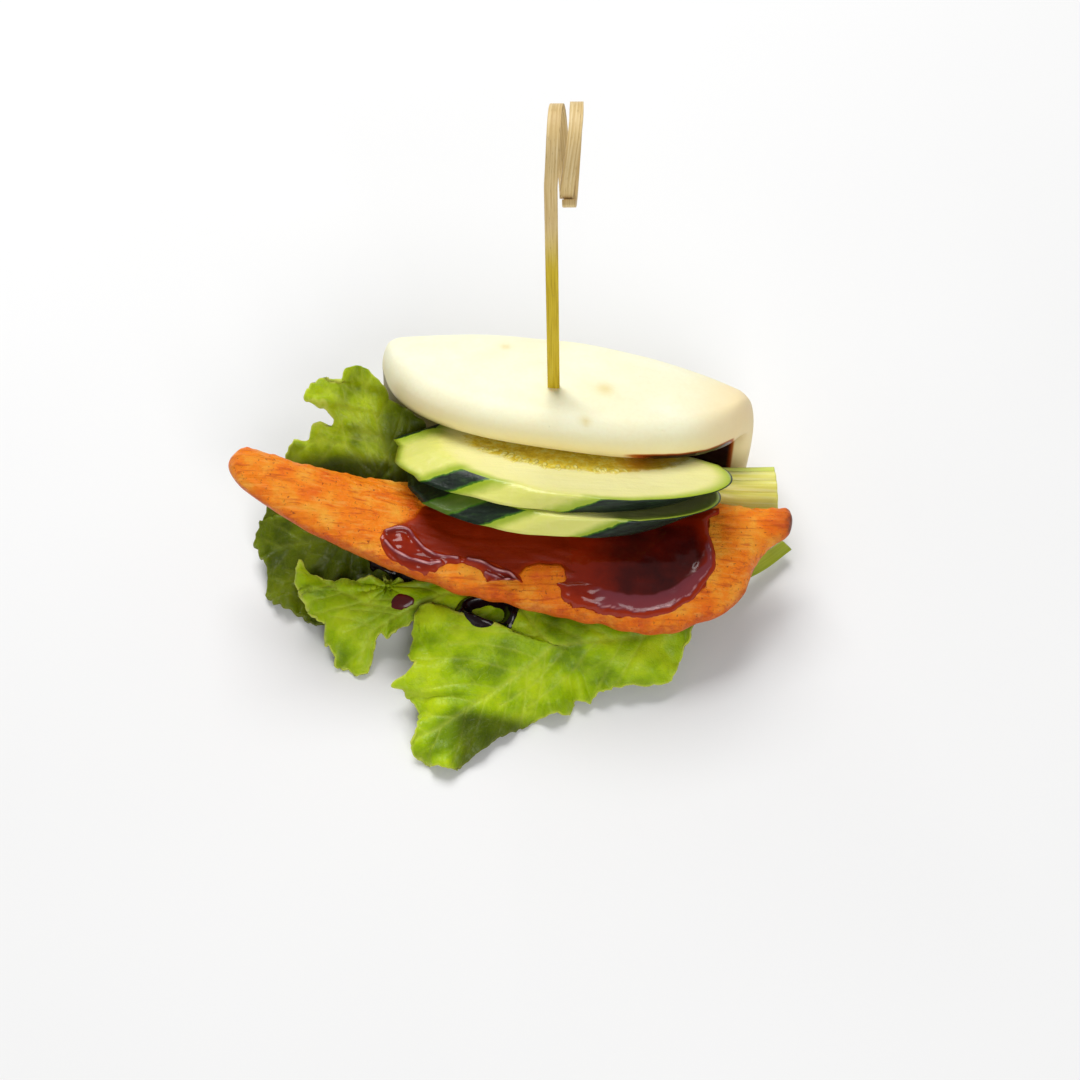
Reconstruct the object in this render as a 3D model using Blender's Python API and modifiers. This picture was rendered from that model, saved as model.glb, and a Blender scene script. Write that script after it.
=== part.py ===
"""A gua bao: a folded steamed bun with leaf lettuce, glazed meat and cucumber, on a knotted bamboo pick.

It lies as it is served, on the flat underside of the bun, with its mouth towards -Y and +Z up.
"""

import math

import bmesh
import bpy
from mathutils import Euler, Vector, noise

MM = 0.001  # every size below is in millimetres, and every object is in metres
GAP = 0.4  # clearance kept between two pieces that touch

# Where the layout's own origin lies in the object's frame, so that the object is centred on its base.
PLACE = Vector((7.1, -5.5, 0.0))

# The bun: an oval of dough folded over a round hinge along its long axis.
BUN_CENTRE = Vector((7.0, 50.0, 0.0))
BUN_YAW = math.radians(-10)
BUN_HALF_LENGTH = 57.5
BUN_HALF_THICKNESS = 6.5
BUN_REACH = 59.5  # from the middle of the hinge to the front edge, along the dough
BUN_SQUARENESS = 2.25  # the power of the oval: 2 is an ellipse
BUN_CROWN = 2.4  # the upper flap is puffed up this much in its middle
RIM_SHARE = 1 / 8  # of the divisions of each side of the dough, those in its rounded rims
HINGE_RADIUS = 16.5  # of the middle of the dough
HINGE_BACK = -4.0  # the hinge's axis, behind the bun's centre
HINGE_BOW_LEFT, HINGE_BOW_RIGHT = 6.8, 9.3  # the hinge's ends curve forwards this much
FLAP_TILT = math.radians(24)

# The cucumber: slices cut on the bias, with their long axes across the bun.
SLICE_RADIUS = 18.6
UPPER_THICKNESS, LOWER_THICKNESS = 5.5, 6.6  # in the middle of a slice
LOWER_WEDGE = 0.9  # the lower slice is this much thicker at its right end, and thinner at its left one
SLICE_TILT = math.radians(27.5)
SLICE_ROLL = math.radians(2.5)
SLICE_YAW = math.radians(-3.5)
UPPER_SLICE = Vector((11.0, 14.0, 46.4))  # the middle of the upper slice's upper face
# The lower slice's place along the upper one, across it and down from it.
LOWER_SLICE_SHIFT = Vector((0.8, -2.1, -UPPER_THICKNESS - GAP))
LOWER_SLICE_TURN = math.radians(2.2)  # its right end lies further back
UPPER_HALF_LENGTH = 44.0
LOWER_HALF_LENGTH = 40.5
# Each slice is an ellipse on the right; its left end is blunt behind, bevelled in front, and drawn backwards.
BLUNT_POWER, BEVEL_POWER = 0.45, 1.25
BLUNT_BACK = 5.0  # how far the blunt corner reaches behind the ellipse
TIP_BACK = 4.5  # how far the left tip lies behind the middle
PEELER_DEPTH = 1.0
# The flats left by the peeler, in degrees round the slice: 0 at the right tip, 90 at the front's middle.
PEELED_UPPER = ((81, 129.5), (144, 196), (232, 268), (300, 336))
PEELED_LOWER = ((66, 121), (150, 190), (226, 262), (296, 330))

# The meat: a long strip. Each station is x, the front edge's y and z, the back edge's y and z, the height of
# its arch between the two edges, and its thickness.
MEAT_STATIONS = (
    (-90.0, 11.5, 43.5, 19.0, 46.0, 0.3, 7.0),
    (-84.0, 7.5, 42.0, 20.0, 45.5, 0.6, 9.0),
    (-70.0, -0.5, 37.5, 17.5, 40.5, 1.5, 9.5),
    (-45.0, -9.5, 30.0, 18.0, 30.5, 1.5, 10.0),
    (-23.0, -15.5, 24.5, 20.5, 22.5, 4.5, 10.0),
    (5.0, -20.5, 20.0, 21.5, 17.5, 8.5, 10.0),
    (31.0, -25.5, 18.5, 21.0, 17.5, 8.0, 9.5),
    (45.0, -22.5, 18.5, 17.0, 21.5, 5.5, 9.0),
    (54.0, -17.5, 18.5, 14.0, 24.5, 3.6, 8.5),
    (59.0, -12.0, 19.0, 12.5, 25.5, 2.8, 8.0),
    (62.0, -4.5, 20.5, 11.5, 26.0, 2.2, 8.0),
    (67.5, 2.5, 22.5, 11.0, 26.5, 1.6, 7.5),
    (73.5, 5.0, 24.5, 11.5, 27.0, 1.0, 7.0),
)
LEFT_END, RIGHT_END = 5.0, 2.5  # the lengths of its rounded ends
EDGE_WANDER, EDGE_LENGTH = 0.07, 7.0  # the share that the edges wander by, and the length of a bump
GRAIN_HEIGHT, GRAIN_LENGTH, GRAIN_WIDTH = 0.5, 16.0, 2.6  # the ridges of the meat's grain
# The pool of sauce on the meat: x, and where its front border lies.
SAUCE_BORDER = (
    (-45.5, 8.0),
    (-45.0, -5.0),
    (-41.0, -10.0),
    (-34.0, -11.5),
    (-28.0, -9.7),
    (-20.0, -9.8),
    (-16.0, -14.5),
    (-8.0, -15.8),
    (-4.0, -11.5),
    (4.0, -11.0),
    (8.0, -19.0),
    (18.0, -21.5),
    (28.0, -23.0),
    (37.0, -21.5),
    (44.0, -17.0),
    (48.5, -9.0),
    (49.0, 8.0),
)
SAUCE_DEPTH, SAUCE_EDGE = 1.2, 2.0  # the width of its rounded border is the second

# Lettuce. A leaf lies between two edges. An edge's point is its place along the leaf, 0 to 1, x, y and z.
LEAF_THICKNESS = 0.8
LOWEST_LEAF = 0.6  # the height of the middle of a leaf that lies on the ground
FRILL_START = 0.1  # how far along a leaf its frills begin
TOOTH_SHARE = 0.5  # how far the frills reach outwards, to how far they wave up and down
FINE_FRILLS, FINE_SHARE = 2.3, 0.6  # the finer teeth, to the main ones: how many, and how deep
WAVES = 1.4  # the rim's waves up and down, to its teeth
BLISTER_SIZE, BLISTER_SHARE = 11.0, 0.6  # the leaf's blisters: their size, and their height to a frill's
FRILL_WANDER = 2.0  # the unevenness of the frills, in radians
FRONT_LEAF = (
    (
        (0.0, 8.0, -6.0, 15.5),
        (0.12, -7.5, -12.0, 15.0),
        (0.2, -12.0, -21.5, 13.0),
        (0.3, -33.5, -13.8, 16.0),
        (0.42, -39.0, -25.0, 9.5),
        (0.5, -38.0, -32.0, 8.0),
        (0.56, -42.5, -37.0, 7.0),
        (0.62, -36.5, -39.0, 6.0),
        (0.8, -36.5, -50.5, 4.0),
        (0.92, -37.0, -56.0, 2.5),
        (1.0, -32.0, -59.0, 1.5),
    ),
    (
        (0.0, 40.0, -5.0, 15.5),
        (0.07, 44.0, -19.0, 12.5),
        (0.13, 41.5, -26.5, 9.0),
        (0.2, 35.5, -34.0, 6.0),
        (0.3, 20.0, -36.5, 4.5),
        (0.56, 5.5, -42.0, 3.0),
        (0.7, -3.0, -45.5, 2.0),
        (0.85, -13.5, -52.5, 1.5),
        (1.0, -24.5, -60.5, 1.2),
    ),
)
FRONT_LEFT_LEAF = (
    (
        (0.0, 0.0, -3.0, 11.0),
        (0.3, -31.0, -5.0, 14.0),
        (0.6, -53.0, -4.0, 14.0),
        (0.85, -64.5, -3.5, 14.0),
        (0.94, -69.0, -1.5, 16.5),
        (1.0, -71.0, 0.5, 19.0),
    ),
    (
        (0.0, 4.0, -16.0, 9.5),
        (0.15, -14.0, -20.0, 10.0),
        (0.28, -31.5, -16.0, 11.0),
        (0.4, -43.0, -19.0, 9.0),
        (0.5, -49.0, -22.0, 5.0),
        (0.57, -51.0, -28.5, 1.5),
        (0.64, -56.0, -28.0, 1.5),
        (0.76, -63.0, -21.5, 3.0),
        (0.84, -63.5, -16.0, 5.5),
        (0.92, -68.0, -12.5, 8.5),
        (1.0, -73.5, -4.5, 12.0),
    ),
)
LEFT_LEAF = (
    (
        (0.0, -57.5, 47.0, 48.0),
        (0.08, -60.0, 44.0, 46.0),
        (0.14, -66.0, 44.5, 46.0),
        (0.2, -69.5, 39.0, 44.0),
        (0.27, -63.5, 38.5, 40.5),
        (0.33, -61.5, 35.5, 37.0),
        (0.38, -67.5, 35.5, 35.0),
        (0.45, -73.5, 32.0, 31.0),
        (0.6, -81.0, 24.0, 16.0),
        (0.75, -86.0, 11.5, 8.0),
        (0.85, -84.0, 6.0, 5.0),
        (1.0, -79.5, -6.0, 1.5),
    ),
    (
        (0.0, -51.0, 47.0, 48.0),
        (0.08, -47.0, 44.5, 43.0),
        (0.14, -44.0, 43.0, 39.0),
        (0.2, -39.0, 41.0, 35.5),
        (0.27, -34.5, 38.0, 32.5),
        (0.34, -38.0, 33.5, 29.5),
        (0.45, -39.5, 28.5, 27.5),
        (0.6, -40.0, 20.0, 21.0),
        (0.8, -34.0, 5.0, 9.0),
        (0.9, -38.0, -4.0, 5.5),
        (1.0, -64.0, -15.0, 1.5),
    ),
)
STEM_THICKNESS = 2.4
STEM = (
    (0.0, 40.0, 27.5, 24.5, 40.0, 20.0, 21.5),
    (0.5, 55.5, 27.0, 24.5, 55.5, 16.5, 19.5),
    (1.0, 69.5, 29.0, 22.0, 70.5, 17.5, 16.0),
)
SPRIG_THICKNESS = 1.0
SPRIG = (
    (0.0, 42.0, -8.0, 12.0, 44.5, -11.0, 11.5),
    (0.6, 62.0, 5.5, 6.5, 65.0, 3.0, 5.5),
    (1.0, 73.0, 15.0, 4.0, 75.5, 12.5, 3.5),
)

# The pick: a flat strip of bamboo with its top end coiled into a loop.
PICK_FOOT = Vector((4.2, 37.3, 7.0))
PICK_LEAN = math.radians(-0.8)
PICK_WIDTH = 3.5
PICK_THICKNESS = 1.6
PICK_POINT = 9.0  # the length of the tapered point
HOLE_HEIGHT = 70.0  # of the slot that it makes in the bun, from its foot up
COIL_CENTRE_Z = 140.0
COIL_DEPTH = 10.5  # half of the coil's size front to back, to the middle of the strip
COIL_HEIGHT = 12.0
COIL_SHARE = 0.86  # of the strip's divisions, those in the coil
# How the coil runs: turns made, the strip's distance to the right of the shaft, and outside the first turn.
COIL = (
    (0.0, 0.0, 0.0),
    (0.25, 1.1, 1.2),
    (0.5, 2.6, 0.4),
    (0.75, 3.8, -0.7),
    (1.0, 4.3, -0.3),
    (1.25, 6.6, 0.2),
    (1.5, 6.7, 2.3),
    (1.75, 5.4, 1.4),
    (1.93, 4.6, 1.8),
)


def clear_scene():
    for old in list(bpy.data.objects):
        bpy.data.objects.remove(old)


def new_collection(name):
    collection = bpy.data.collections.new(name)
    bpy.context.scene.collection.children.link(collection)
    return collection


def material(name, colour, roughness):
    made = bpy.data.materials.new(name)
    made.use_nodes = True
    shader = made.node_tree.nodes["Principled BSDF"]
    shader.inputs["Base Color"].default_value = (*colour, 1.0)
    shader.inputs["Roughness"].default_value = roughness
    made.diffuse_color = (*colour, 1.0)
    return made


def add_object(name, bm, collection, root, finish):
    """Turns a bmesh in the layout's millimetres into an object in metres, parented to the root."""
    if bm.calc_volume(signed=True) < 0:
        bmesh.ops.reverse_faces(bm, faces=bm.faces)
    bmesh.ops.scale(bm, vec=(MM, MM, MM), verts=bm.verts)
    mesh = bpy.data.meshes.new(name)
    bm.to_mesh(mesh)
    bm.free()
    mesh.shade_smooth()
    mesh.set_sharp_from_angle(angle=math.radians(50))
    mesh.materials.append(finish)
    made = bpy.data.objects.new(name, mesh)
    made.parent = root
    collection.objects.link(made)
    return made


def thicken(thing, thickness):
    """Gives an open surface its thickness, half to each side."""
    shell = thing.modifiers.new("Thickness", "SOLIDIFY")
    shell.thickness = thickness * MM
    shell.offset = 0.0


def pierce(thing, cutter):
    cut = thing.modifiers.new("Hole", "BOOLEAN")
    cut.operation = "DIFFERENCE"
    cut.solver = "EXACT"
    cut.object = cutter


def through(stations, key):
    """The values at a key, on a smooth curve through stations that each start with their own key."""
    keys = [row[0] for row in stations]
    key = min(max(key, keys[0]), keys[-1])
    i = 0
    while i < len(keys) - 2 and key > keys[i + 1]:
        i += 1
    span = keys[i + 1] - keys[i]
    t = (key - keys[i]) / span

    def slope(column, j):
        low, high = max(j - 1, 0), min(j + 1, len(keys) - 1)
        return (stations[high][column] - stations[low][column]) / (keys[high] - keys[low])

    found = []
    for column in range(1, len(stations[0])):
        found.append(
            (2 * t**3 - 3 * t**2 + 1) * stations[i][column]
            + (t**3 - 2 * t**2 + t) * span * slope(column, i)
            + (3 * t**2 - 2 * t**3) * stations[i + 1][column]
            + (t**3 - t**2) * span * slope(column, i + 1)
        )
    return found


def smooth_step(value, low, high):
    t = min(max((value - low) / (high - low), 0.0), 1.0)
    return t * t * (3 - 2 * t)


def signed_power(value, power):
    return math.copysign(abs(value) ** power, value)


def rounded_end(depth, reach):
    """How much of its full size a piece has at a depth from its rounded end."""
    if depth >= reach:
        return 1.0
    return math.sqrt(max(1.0 - ((reach - depth) / reach) ** 2, 0.0))


def ball(rings, around, shape):
    """A UV sphere whose points shape(along, angle) puts in place; along runs from 0 to 1, pole to pole."""
    bm = bmesh.new()
    bmesh.ops.create_uvsphere(bm, u_segments=around, v_segments=rings, radius=1)
    for vertex in bm.verts:
        x, y, z = vertex.co
        along = math.acos(min(max(z, -1.0), 1.0)) / math.pi
        vertex.co = shape(along, math.atan2(y, x) % math.tau)
    return bm


def sheet(along, across, shape):
    """A triangulated grid whose points shape(t, s) puts in place, with t and s from 0 to 1."""
    bm = bmesh.new()
    bmesh.ops.create_grid(bm, x_segments=along, y_segments=across, size=1)
    for vertex in bm.verts:
        vertex.co = shape((vertex.co.x + 1) / 2, (vertex.co.y + 1) / 2)
    bmesh.ops.triangulate(bm, faces=bm.faces)
    return bm


def hinge_turn():
    """The angle that the dough turns through round the hinge, from the lower flap to the upper one."""
    return math.pi - FLAP_TILT


def dough_point(u, v, w):
    """A point of the bun: u along the fold, v along the dough from the lower flap up, w outwards."""
    turn = hinge_turn()
    half_arc = HINGE_RADIUS * turn / 2
    if v < -half_arc:
        angle, straight = 0.0, v + half_arc
    elif v > half_arc:
        angle, straight = turn, v - half_arc
    else:
        angle, straight = (v + half_arc) / HINGE_RADIUS, 0.0
    forward, height = math.cos(angle), math.sin(angle)
    y = HINGE_BACK + (HINGE_RADIUS + w) * height + straight * forward
    z = BUN_HALF_THICKNESS + HINGE_RADIUS - (HINGE_RADIUS + w) * forward + straight * height
    y -= (HINGE_BOW_LEFT if u < 0 else HINGE_BOW_RIGHT) * (u / BUN_HALF_LENGTH) ** 2
    return Vector((u, y, z))


def bun_shape(along, angle):
    """A station along the fold is a loop round the section: out along one side, back along the other."""
    half_length, half_thickness = BUN_HALF_LENGTH, BUN_HALF_THICKNESS
    polar = math.pi * along
    u = -half_length * signed_power(math.cos(polar), 2 / BUN_SQUARENESS)
    reach = BUN_REACH * math.sin(polar) ** (2 / BUN_SQUARENESS)
    thickness = half_thickness * rounded_end(half_length - abs(u), half_thickness)
    rim = min(half_thickness, reach)
    side = angle / math.pi
    outer = side < 1.0
    place = side if outer else side - 1.0
    # Each side has half of its rim at each end.
    if place < RIM_SHARE / 2:
        bend = place / RIM_SHARE * math.pi
        across, lift = 1.0 + (math.cos(bend) - 1.0) * rim / max(reach, 1e-6), math.sin(bend)
    elif place > 1 - RIM_SHARE / 2:
        bend = (1 - place) / RIM_SHARE * math.pi
        across, lift = -1.0 - (math.cos(bend) - 1.0) * rim / max(reach, 1e-6), math.sin(bend)
    else:
        t = 1 - 2 * (place - RIM_SHARE / 2) / (1 - RIM_SHARE)
        flat = 1.0 - rim / max(reach, 1e-6)
        across, lift = flat * (0.6 * t + 0.4 * t**3), 1.0
    if not outer:
        across, lift = -across, -lift
    v = reach * across
    w = thickness * lift
    if lift > 0:
        w += BUN_CROWN * crown(u, v)
    point = dough_point(u, v, w)
    point.rotate(Euler((0, 0, BUN_YAW)))
    return BUN_CENTRE + point


def crown(u, v):
    """The puff of the upper flap: 1 in its middle, 0 at the hinge and the edges."""
    lengthwise = max(1 - (u / BUN_HALF_LENGTH) ** 2, 0.0)
    return lengthwise * smooth_step(v, 0, 0.45 * BUN_REACH) * (1 - smooth_step(v, 0.5 * BUN_REACH, BUN_REACH))


def peeled_depth(degrees, peeled):
    """How deep the peeler's flat is at this place round the slice."""
    for low, high in peeled:
        if low < degrees < high:
            half = math.radians(high - low) / 2
            turned = math.radians(degrees) - math.radians(low) - half
            return min(PEELER_DEPTH, SLICE_RADIUS * (1 - math.cos(half) / math.cos(turned)))
    return 0.0


def slice_outline(degrees, half_length, peeled):
    """A point of the slice's edge, in the slice's own plane."""
    turned = math.radians(degrees)
    left = smooth_step(-math.cos(turned), 0, 0.6)
    behind = math.sin(turned) < 0
    power = 1 + left * ((BLUNT_POWER if behind else BEVEL_POWER) - 1)
    size = 1 - peeled_depth(degrees, peeled) / SLICE_RADIUS
    radius = SLICE_RADIUS + (BLUNT_BACK * left if behind else 0.0)
    x = half_length * size * signed_power(math.cos(turned), power)
    y = -radius * size * signed_power(math.sin(turned), power)
    return Vector((x, y + TIP_BACK * min(math.cos(turned), 0.0) ** 2, 0))


def slice_frame():
    return Euler((-SLICE_TILT, SLICE_ROLL, SLICE_YAW))


def cucumber(middle, turn, half_length, thickness, wedge, peeled):
    """A bias-cut slice: its wall runs along the cucumber, so its lower face lies further left."""
    bm = bmesh.new()
    bmesh.ops.create_cone(bm, segments=72, radius1=1, radius2=1, depth=1, cap_ends=True)
    bias = math.asin(SLICE_RADIUS / half_length)
    for vertex in bm.verts:
        degrees = math.degrees(math.atan2(-vertex.co.y, vertex.co.x)) % 360
        lower = vertex.co.z < 0
        point = slice_outline(degrees, half_length, peeled)
        if lower:
            depth = thickness + wedge * point.x / half_length
            point += Vector((-depth / math.tan(bias), 0, -depth))
        point.rotate(Euler((0, 0, turn)))
        point.rotate(slice_frame())
        vertex.co = middle + point
    return bm


def sauce_cover(x, y):
    """1 where the pool of sauce lies on the meat, 0 outside it."""
    if not SAUCE_BORDER[0][0] < x < SAUCE_BORDER[-1][0]:
        return 0.0
    border = through(SAUCE_BORDER, x)[0]
    return smooth_step(y, border, border + SAUCE_EDGE)


def meat_shape(along, angle):
    first, last = MEAT_STATIONS[0][0], MEAT_STATIONS[-1][0]
    x = (first + last) / 2 - (last - first) / 2 * math.cos(math.pi * along)
    front_y, front_z, back_y, back_z, arch, thickness = through(MEAT_STATIONS, x)
    full = rounded_end(x - first, LEFT_END) * rounded_end(last - x, RIGHT_END)
    across = signed_power(math.cos(angle), 0.75)
    lift = signed_power(math.sin(angle), 0.6)
    front, back = Vector((x, front_y, front_z)), Vector((x, back_y, back_z))
    middle = (front + back) / 2
    half = (back - front) / 2
    bend = math.atan2(half.z, half.y) - math.atan(2 * arch * across / half.length)
    up = Vector((0, -math.sin(bend), math.cos(bend)))
    edge = noise.noise(Vector((x / EDGE_LENGTH, math.copysign(3, across), 0)))
    point = middle + half * across * full * (1 + EDGE_WANDER * edge) + Vector((0, 0, arch * (1 - across**2)))
    point += up * lift * full * thickness / 2
    if lift > 0.5:
        grain = GRAIN_HEIGHT * noise.noise(Vector((x / GRAIN_LENGTH, point.y / GRAIN_WIDTH, 7)))
        point += up * (grain + SAUCE_DEPTH * sauce_cover(x, point.y)) * full
    return point


def leaf_surface(edges, hub, camber, ruffle, frills, seed):
    """A leaf between two edges: arched by its camber, with frills that spread from its hub to its rim."""

    def shape(t, s):
        point = Vector(through(edges[0], t)).lerp(Vector(through(edges[1], t)), s)
        point.z += camber * 4 * s * (1 - s)
        spoke = Vector((point.x - hub[0], point.y - hub[1], 0))
        bearing = math.atan2(spoke.y, spoke.x)
        rim = max(abs(2 * s - 1), 2 * t - 1, 0.0) ** 3 * smooth_step(t, FRILL_START, 0.5)
        wander = FRILL_WANDER * noise.noise(Vector((2 * math.cos(bearing), 2 * math.sin(bearing), seed)))
        teeth = math.sin(frills * bearing + seed + wander)
        teeth += FINE_SHARE * math.sin(FINE_FRILLS * frills * bearing + 2 * seed)
        wave = math.sin(WAVES * frills * bearing + 3 * seed + wander)
        blister = noise.noise(Vector((point.x / BLISTER_SIZE, point.y / BLISTER_SIZE, seed)))
        point += spoke.normalized() * rim * ruffle * TOOTH_SHARE * teeth
        point.z += ruffle * (rim * wave + BLISTER_SHARE * blister)
        point.z = max(point.z, LOWEST_LEAF)
        return point

    return shape


def ribbed_surface(stations, arch, ribs, rib_height):
    """A piece of a leaf's thick midrib: an arched strip with ribs along it."""

    def shape(t, s):
        ax, ay, az, bx, by, bz = through(stations, t)
        point = Vector((ax, ay, az)).lerp(Vector((bx, by, bz)), s)
        point.z += arch * 4 * s * (1 - s) + rib_height * math.cos(math.tau * ribs * s)
        return point

    return shape


def coil_point(turns):
    right, outside = through(COIL, turns)
    angle = math.pi - math.tau * turns
    y = COIL_DEPTH + (COIL_DEPTH + outside) * math.cos(angle)
    z = COIL_CENTRE_Z + (COIL_HEIGHT + outside) * math.sin(angle)
    return Vector((right, y, z))


def pick_surface(t, s):
    """The strip's middle surface: straight from its point to the coil, then round the coil."""
    if t < 1 - COIL_SHARE:
        z = PICK_FOOT.z + (COIL_CENTRE_Z - PICK_FOOT.z) * t / (1 - COIL_SHARE)
        point = Vector((0, 0, z))
    else:
        point = coil_point(COIL[-1][0] * (t - 1 + COIL_SHARE) / COIL_SHARE)
    width = PICK_WIDTH * (0.25 + 0.75 * smooth_step(point.z - PICK_FOOT.z, 0, PICK_POINT))
    point.x += width * (s - 0.5)
    point -= Vector((0, 0, PICK_FOOT.z))
    point.rotate(Euler((0, PICK_LEAN, 0)))
    return PICK_FOOT + point


def pick_hole(root, collection, finish):
    """The slot that the pick's shaft fills, a gap wider all round."""
    bm = bmesh.new()
    bmesh.ops.create_cube(bm, size=1)
    for vertex in bm.verts:
        vertex.co.x *= PICK_WIDTH + 2 * GAP
        vertex.co.y *= PICK_THICKNESS + 2 * GAP
        vertex.co.z = vertex.co.z * HOLE_HEIGHT + HOLE_HEIGHT / 2 - GAP
        vertex.co.rotate(Euler((0, PICK_LEAN, 0)))
        vertex.co += PICK_FOOT
    cutter = add_object("pick_hole", bm, collection, root, finish)
    cutter.hide_render = True
    cutter.display_type = "WIRE"
    return cutter


def main():
    clear_scene()
    food = new_collection("gua_bao")
    cutters = new_collection("cutters")
    cutters.hide_render = True
    root = bpy.data.objects.new("gua_bao_base", None)
    root.location = PLACE * MM
    food.objects.link(root)

    dough = material("Steamed dough", (0.92, 0.88, 0.70), 0.55)
    flesh = material("Cucumber", (0.62, 0.72, 0.25), 0.35)
    roast = material("Glazed meat", (0.80, 0.27, 0.05), 0.35)
    leaf = material("Lettuce leaf", (0.25, 0.47, 0.05), 0.4)
    rib = material("Lettuce rib", (0.62, 0.68, 0.22), 0.4)
    bamboo = material("Bamboo", (0.60, 0.47, 0.15), 0.55)

    hole = pick_hole(root, cutters, bamboo)
    bun = add_object("bun", ball(32, 56, bun_shape), food, root, dough)
    pierce(bun, hole)

    shift = LOWER_SLICE_SHIFT.copy()
    shift.rotate(slice_frame())
    lower_slice = UPPER_SLICE + shift
    upper = (UPPER_SLICE, 0.0, UPPER_HALF_LENGTH, UPPER_THICKNESS, 0.0, PEELED_UPPER)
    lower = (lower_slice, LOWER_SLICE_TURN, LOWER_HALF_LENGTH, LOWER_THICKNESS, LOWER_WEDGE, PEELED_LOWER)
    for name, sizes in (("cucumber_1", upper), ("cucumber_2", lower)):
        add_object(name, cucumber(*sizes), food, root, flesh)

    add_object("meat", ball(52, 26, meat_shape), food, root, roast)

    leaves = (
        ("lettuce_front", FRONT_LEAF, 26, 18, (5, -20), 4.0, 1.8, 11, 0.6),
        ("lettuce_front_left", FRONT_LEFT_LEAF, 26, 12, (-45, -7), 1.5, 1.5, 9, 1.9),
        ("lettuce_left", LEFT_LEAF, 32, 16, (-55, 18), 2.0, 2.0, 11, 4.2),
    )
    for name, edges, along, across, hub, camber, ruffle, frills, seed in leaves:
        surface = sheet(along, across, leaf_surface(edges, hub, camber, ruffle, frills, seed))
        thicken(add_object(name, surface, food, root, leaf), LEAF_THICKNESS)

    stem = sheet(8, 16, ribbed_surface(STEM, 3.0, 4, 0.35))
    thicken(add_object("lettuce_stem", stem, food, root, rib), STEM_THICKNESS)
    sprig = sheet(12, 4, ribbed_surface(SPRIG, 0.6, 1, 0.2))
    thicken(add_object("lettuce_sprig", sprig, food, root, leaf), SPRIG_THICKNESS)

    pick = add_object("pick", sheet(76, 1, pick_surface), food, root, bamboo)
    thicken(pick, PICK_THICKNESS)


main()
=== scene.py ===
"""The looks of a gua bao: dough, cucumber, glazed meat, lettuce and bamboo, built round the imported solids.

Shapes are worked out in the layout's millimetres, with the same sizes as the solids, and finer.
"""

import functools
import math
import random

import bpy
import numpy as np
from mathutils import Euler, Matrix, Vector, noise
from mathutils.bvhtree import BVHTree


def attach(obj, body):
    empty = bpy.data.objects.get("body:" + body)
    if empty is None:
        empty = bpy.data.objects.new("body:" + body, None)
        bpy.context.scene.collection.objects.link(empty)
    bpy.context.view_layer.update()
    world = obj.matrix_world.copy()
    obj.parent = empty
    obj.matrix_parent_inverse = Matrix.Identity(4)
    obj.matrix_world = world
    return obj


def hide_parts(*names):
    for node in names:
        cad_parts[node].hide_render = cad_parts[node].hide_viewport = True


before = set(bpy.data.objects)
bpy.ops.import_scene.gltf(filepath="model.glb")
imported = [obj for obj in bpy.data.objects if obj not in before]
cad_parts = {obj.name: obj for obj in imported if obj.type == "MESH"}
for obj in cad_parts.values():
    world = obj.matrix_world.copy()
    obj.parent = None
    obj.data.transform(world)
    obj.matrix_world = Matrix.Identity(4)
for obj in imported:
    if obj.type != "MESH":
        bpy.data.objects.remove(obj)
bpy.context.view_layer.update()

MM = 0.001
GAP = 0.4
PLACE = Vector((7.1, -5.5, 0))  # the layout's origin in the object's frame, in millimetres

# The camera stands where the photograph was taken from: high up in front.
CAMERA_PLACE = Vector((-0.4, -341.9, 567.7))
CAMERA_TILT = math.radians(32.4)
PHOTO_SIZE = 1080
FOCAL_LENGTH_PX = 2200
SENSOR = 36

# The bun.
BUN_CENTRE = Vector((7, 50, 0))
BUN_YAW = math.radians(-10)
BUN_HALF_LENGTH = 57.5
BUN_HALF_THICKNESS = 6.5
BUN_REACH = 59.5
BUN_SQUARENESS = 2.25
BUN_CROWN = 2.4
RIM_SHARE = 1 / 8
HINGE_RADIUS = 16.5
HINGE_BACK = -4
HINGE_BOW_LEFT, HINGE_BOW_RIGHT = 6.8, 9.3
FLAP_TILT = math.radians(24)
DOUGH_WAVE, DOUGH_WAVE_LENGTH = 0.35, 19
DOUGH_MARKS = ("fold_u", "smudge", "fold_lift")  # what each point of the dough knows about itself

# Small marks on the upper flap, as x, y and size in the layout, and the dent round the pick.
PITS = ((-10.8, 55.8, 0.7), (12.5, 21.5, 0.8), (-24, 44, 0.6), (34, 30, 0.7))
SMUDGES = ((18.5, 36.6, 2.6), (-10.6, 56.8, 1.3), (12.6, 22.5, 1.4))
PIT_DEPTH = 0.4
DENT_SIZE, DENT_DEPTH = (3.2, 2.4), 0.7

# The cucumber.
SLICE_RADIUS = 18.6
UPPER_THICKNESS, LOWER_THICKNESS = 5.5, 6.6
LOWER_WEDGE = 0.9
SLICE_TILT = math.radians(27.5)
SLICE_ROLL = math.radians(2.5)
SLICE_YAW = math.radians(-3.5)
UPPER_SLICE = Vector((11, 14, 46.4))
LOWER_SLICE_SHIFT = Vector((0.8, -2.1, -UPPER_THICKNESS - GAP))
LOWER_SLICE_TURN = math.radians(2.2)
UPPER_HALF_LENGTH = 44
LOWER_HALF_LENGTH = 40.5
BLUNT_POWER, BEVEL_POWER = 0.45, 1.25
BLUNT_BACK = 5
TIP_BACK = 4.5
PEELER_DEPTH = 1
PEELED_UPPER = ((81, 129.5), (144, 196), (232, 268), (300, 336))
PEELED_LOWER = ((66, 121), (150, 190), (226, 262), (296, 330))
BARE_LOWER = ((70, 118), (136, 149), (226, 262), (296, 330))  # where no green is left on the lower slice
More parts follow.
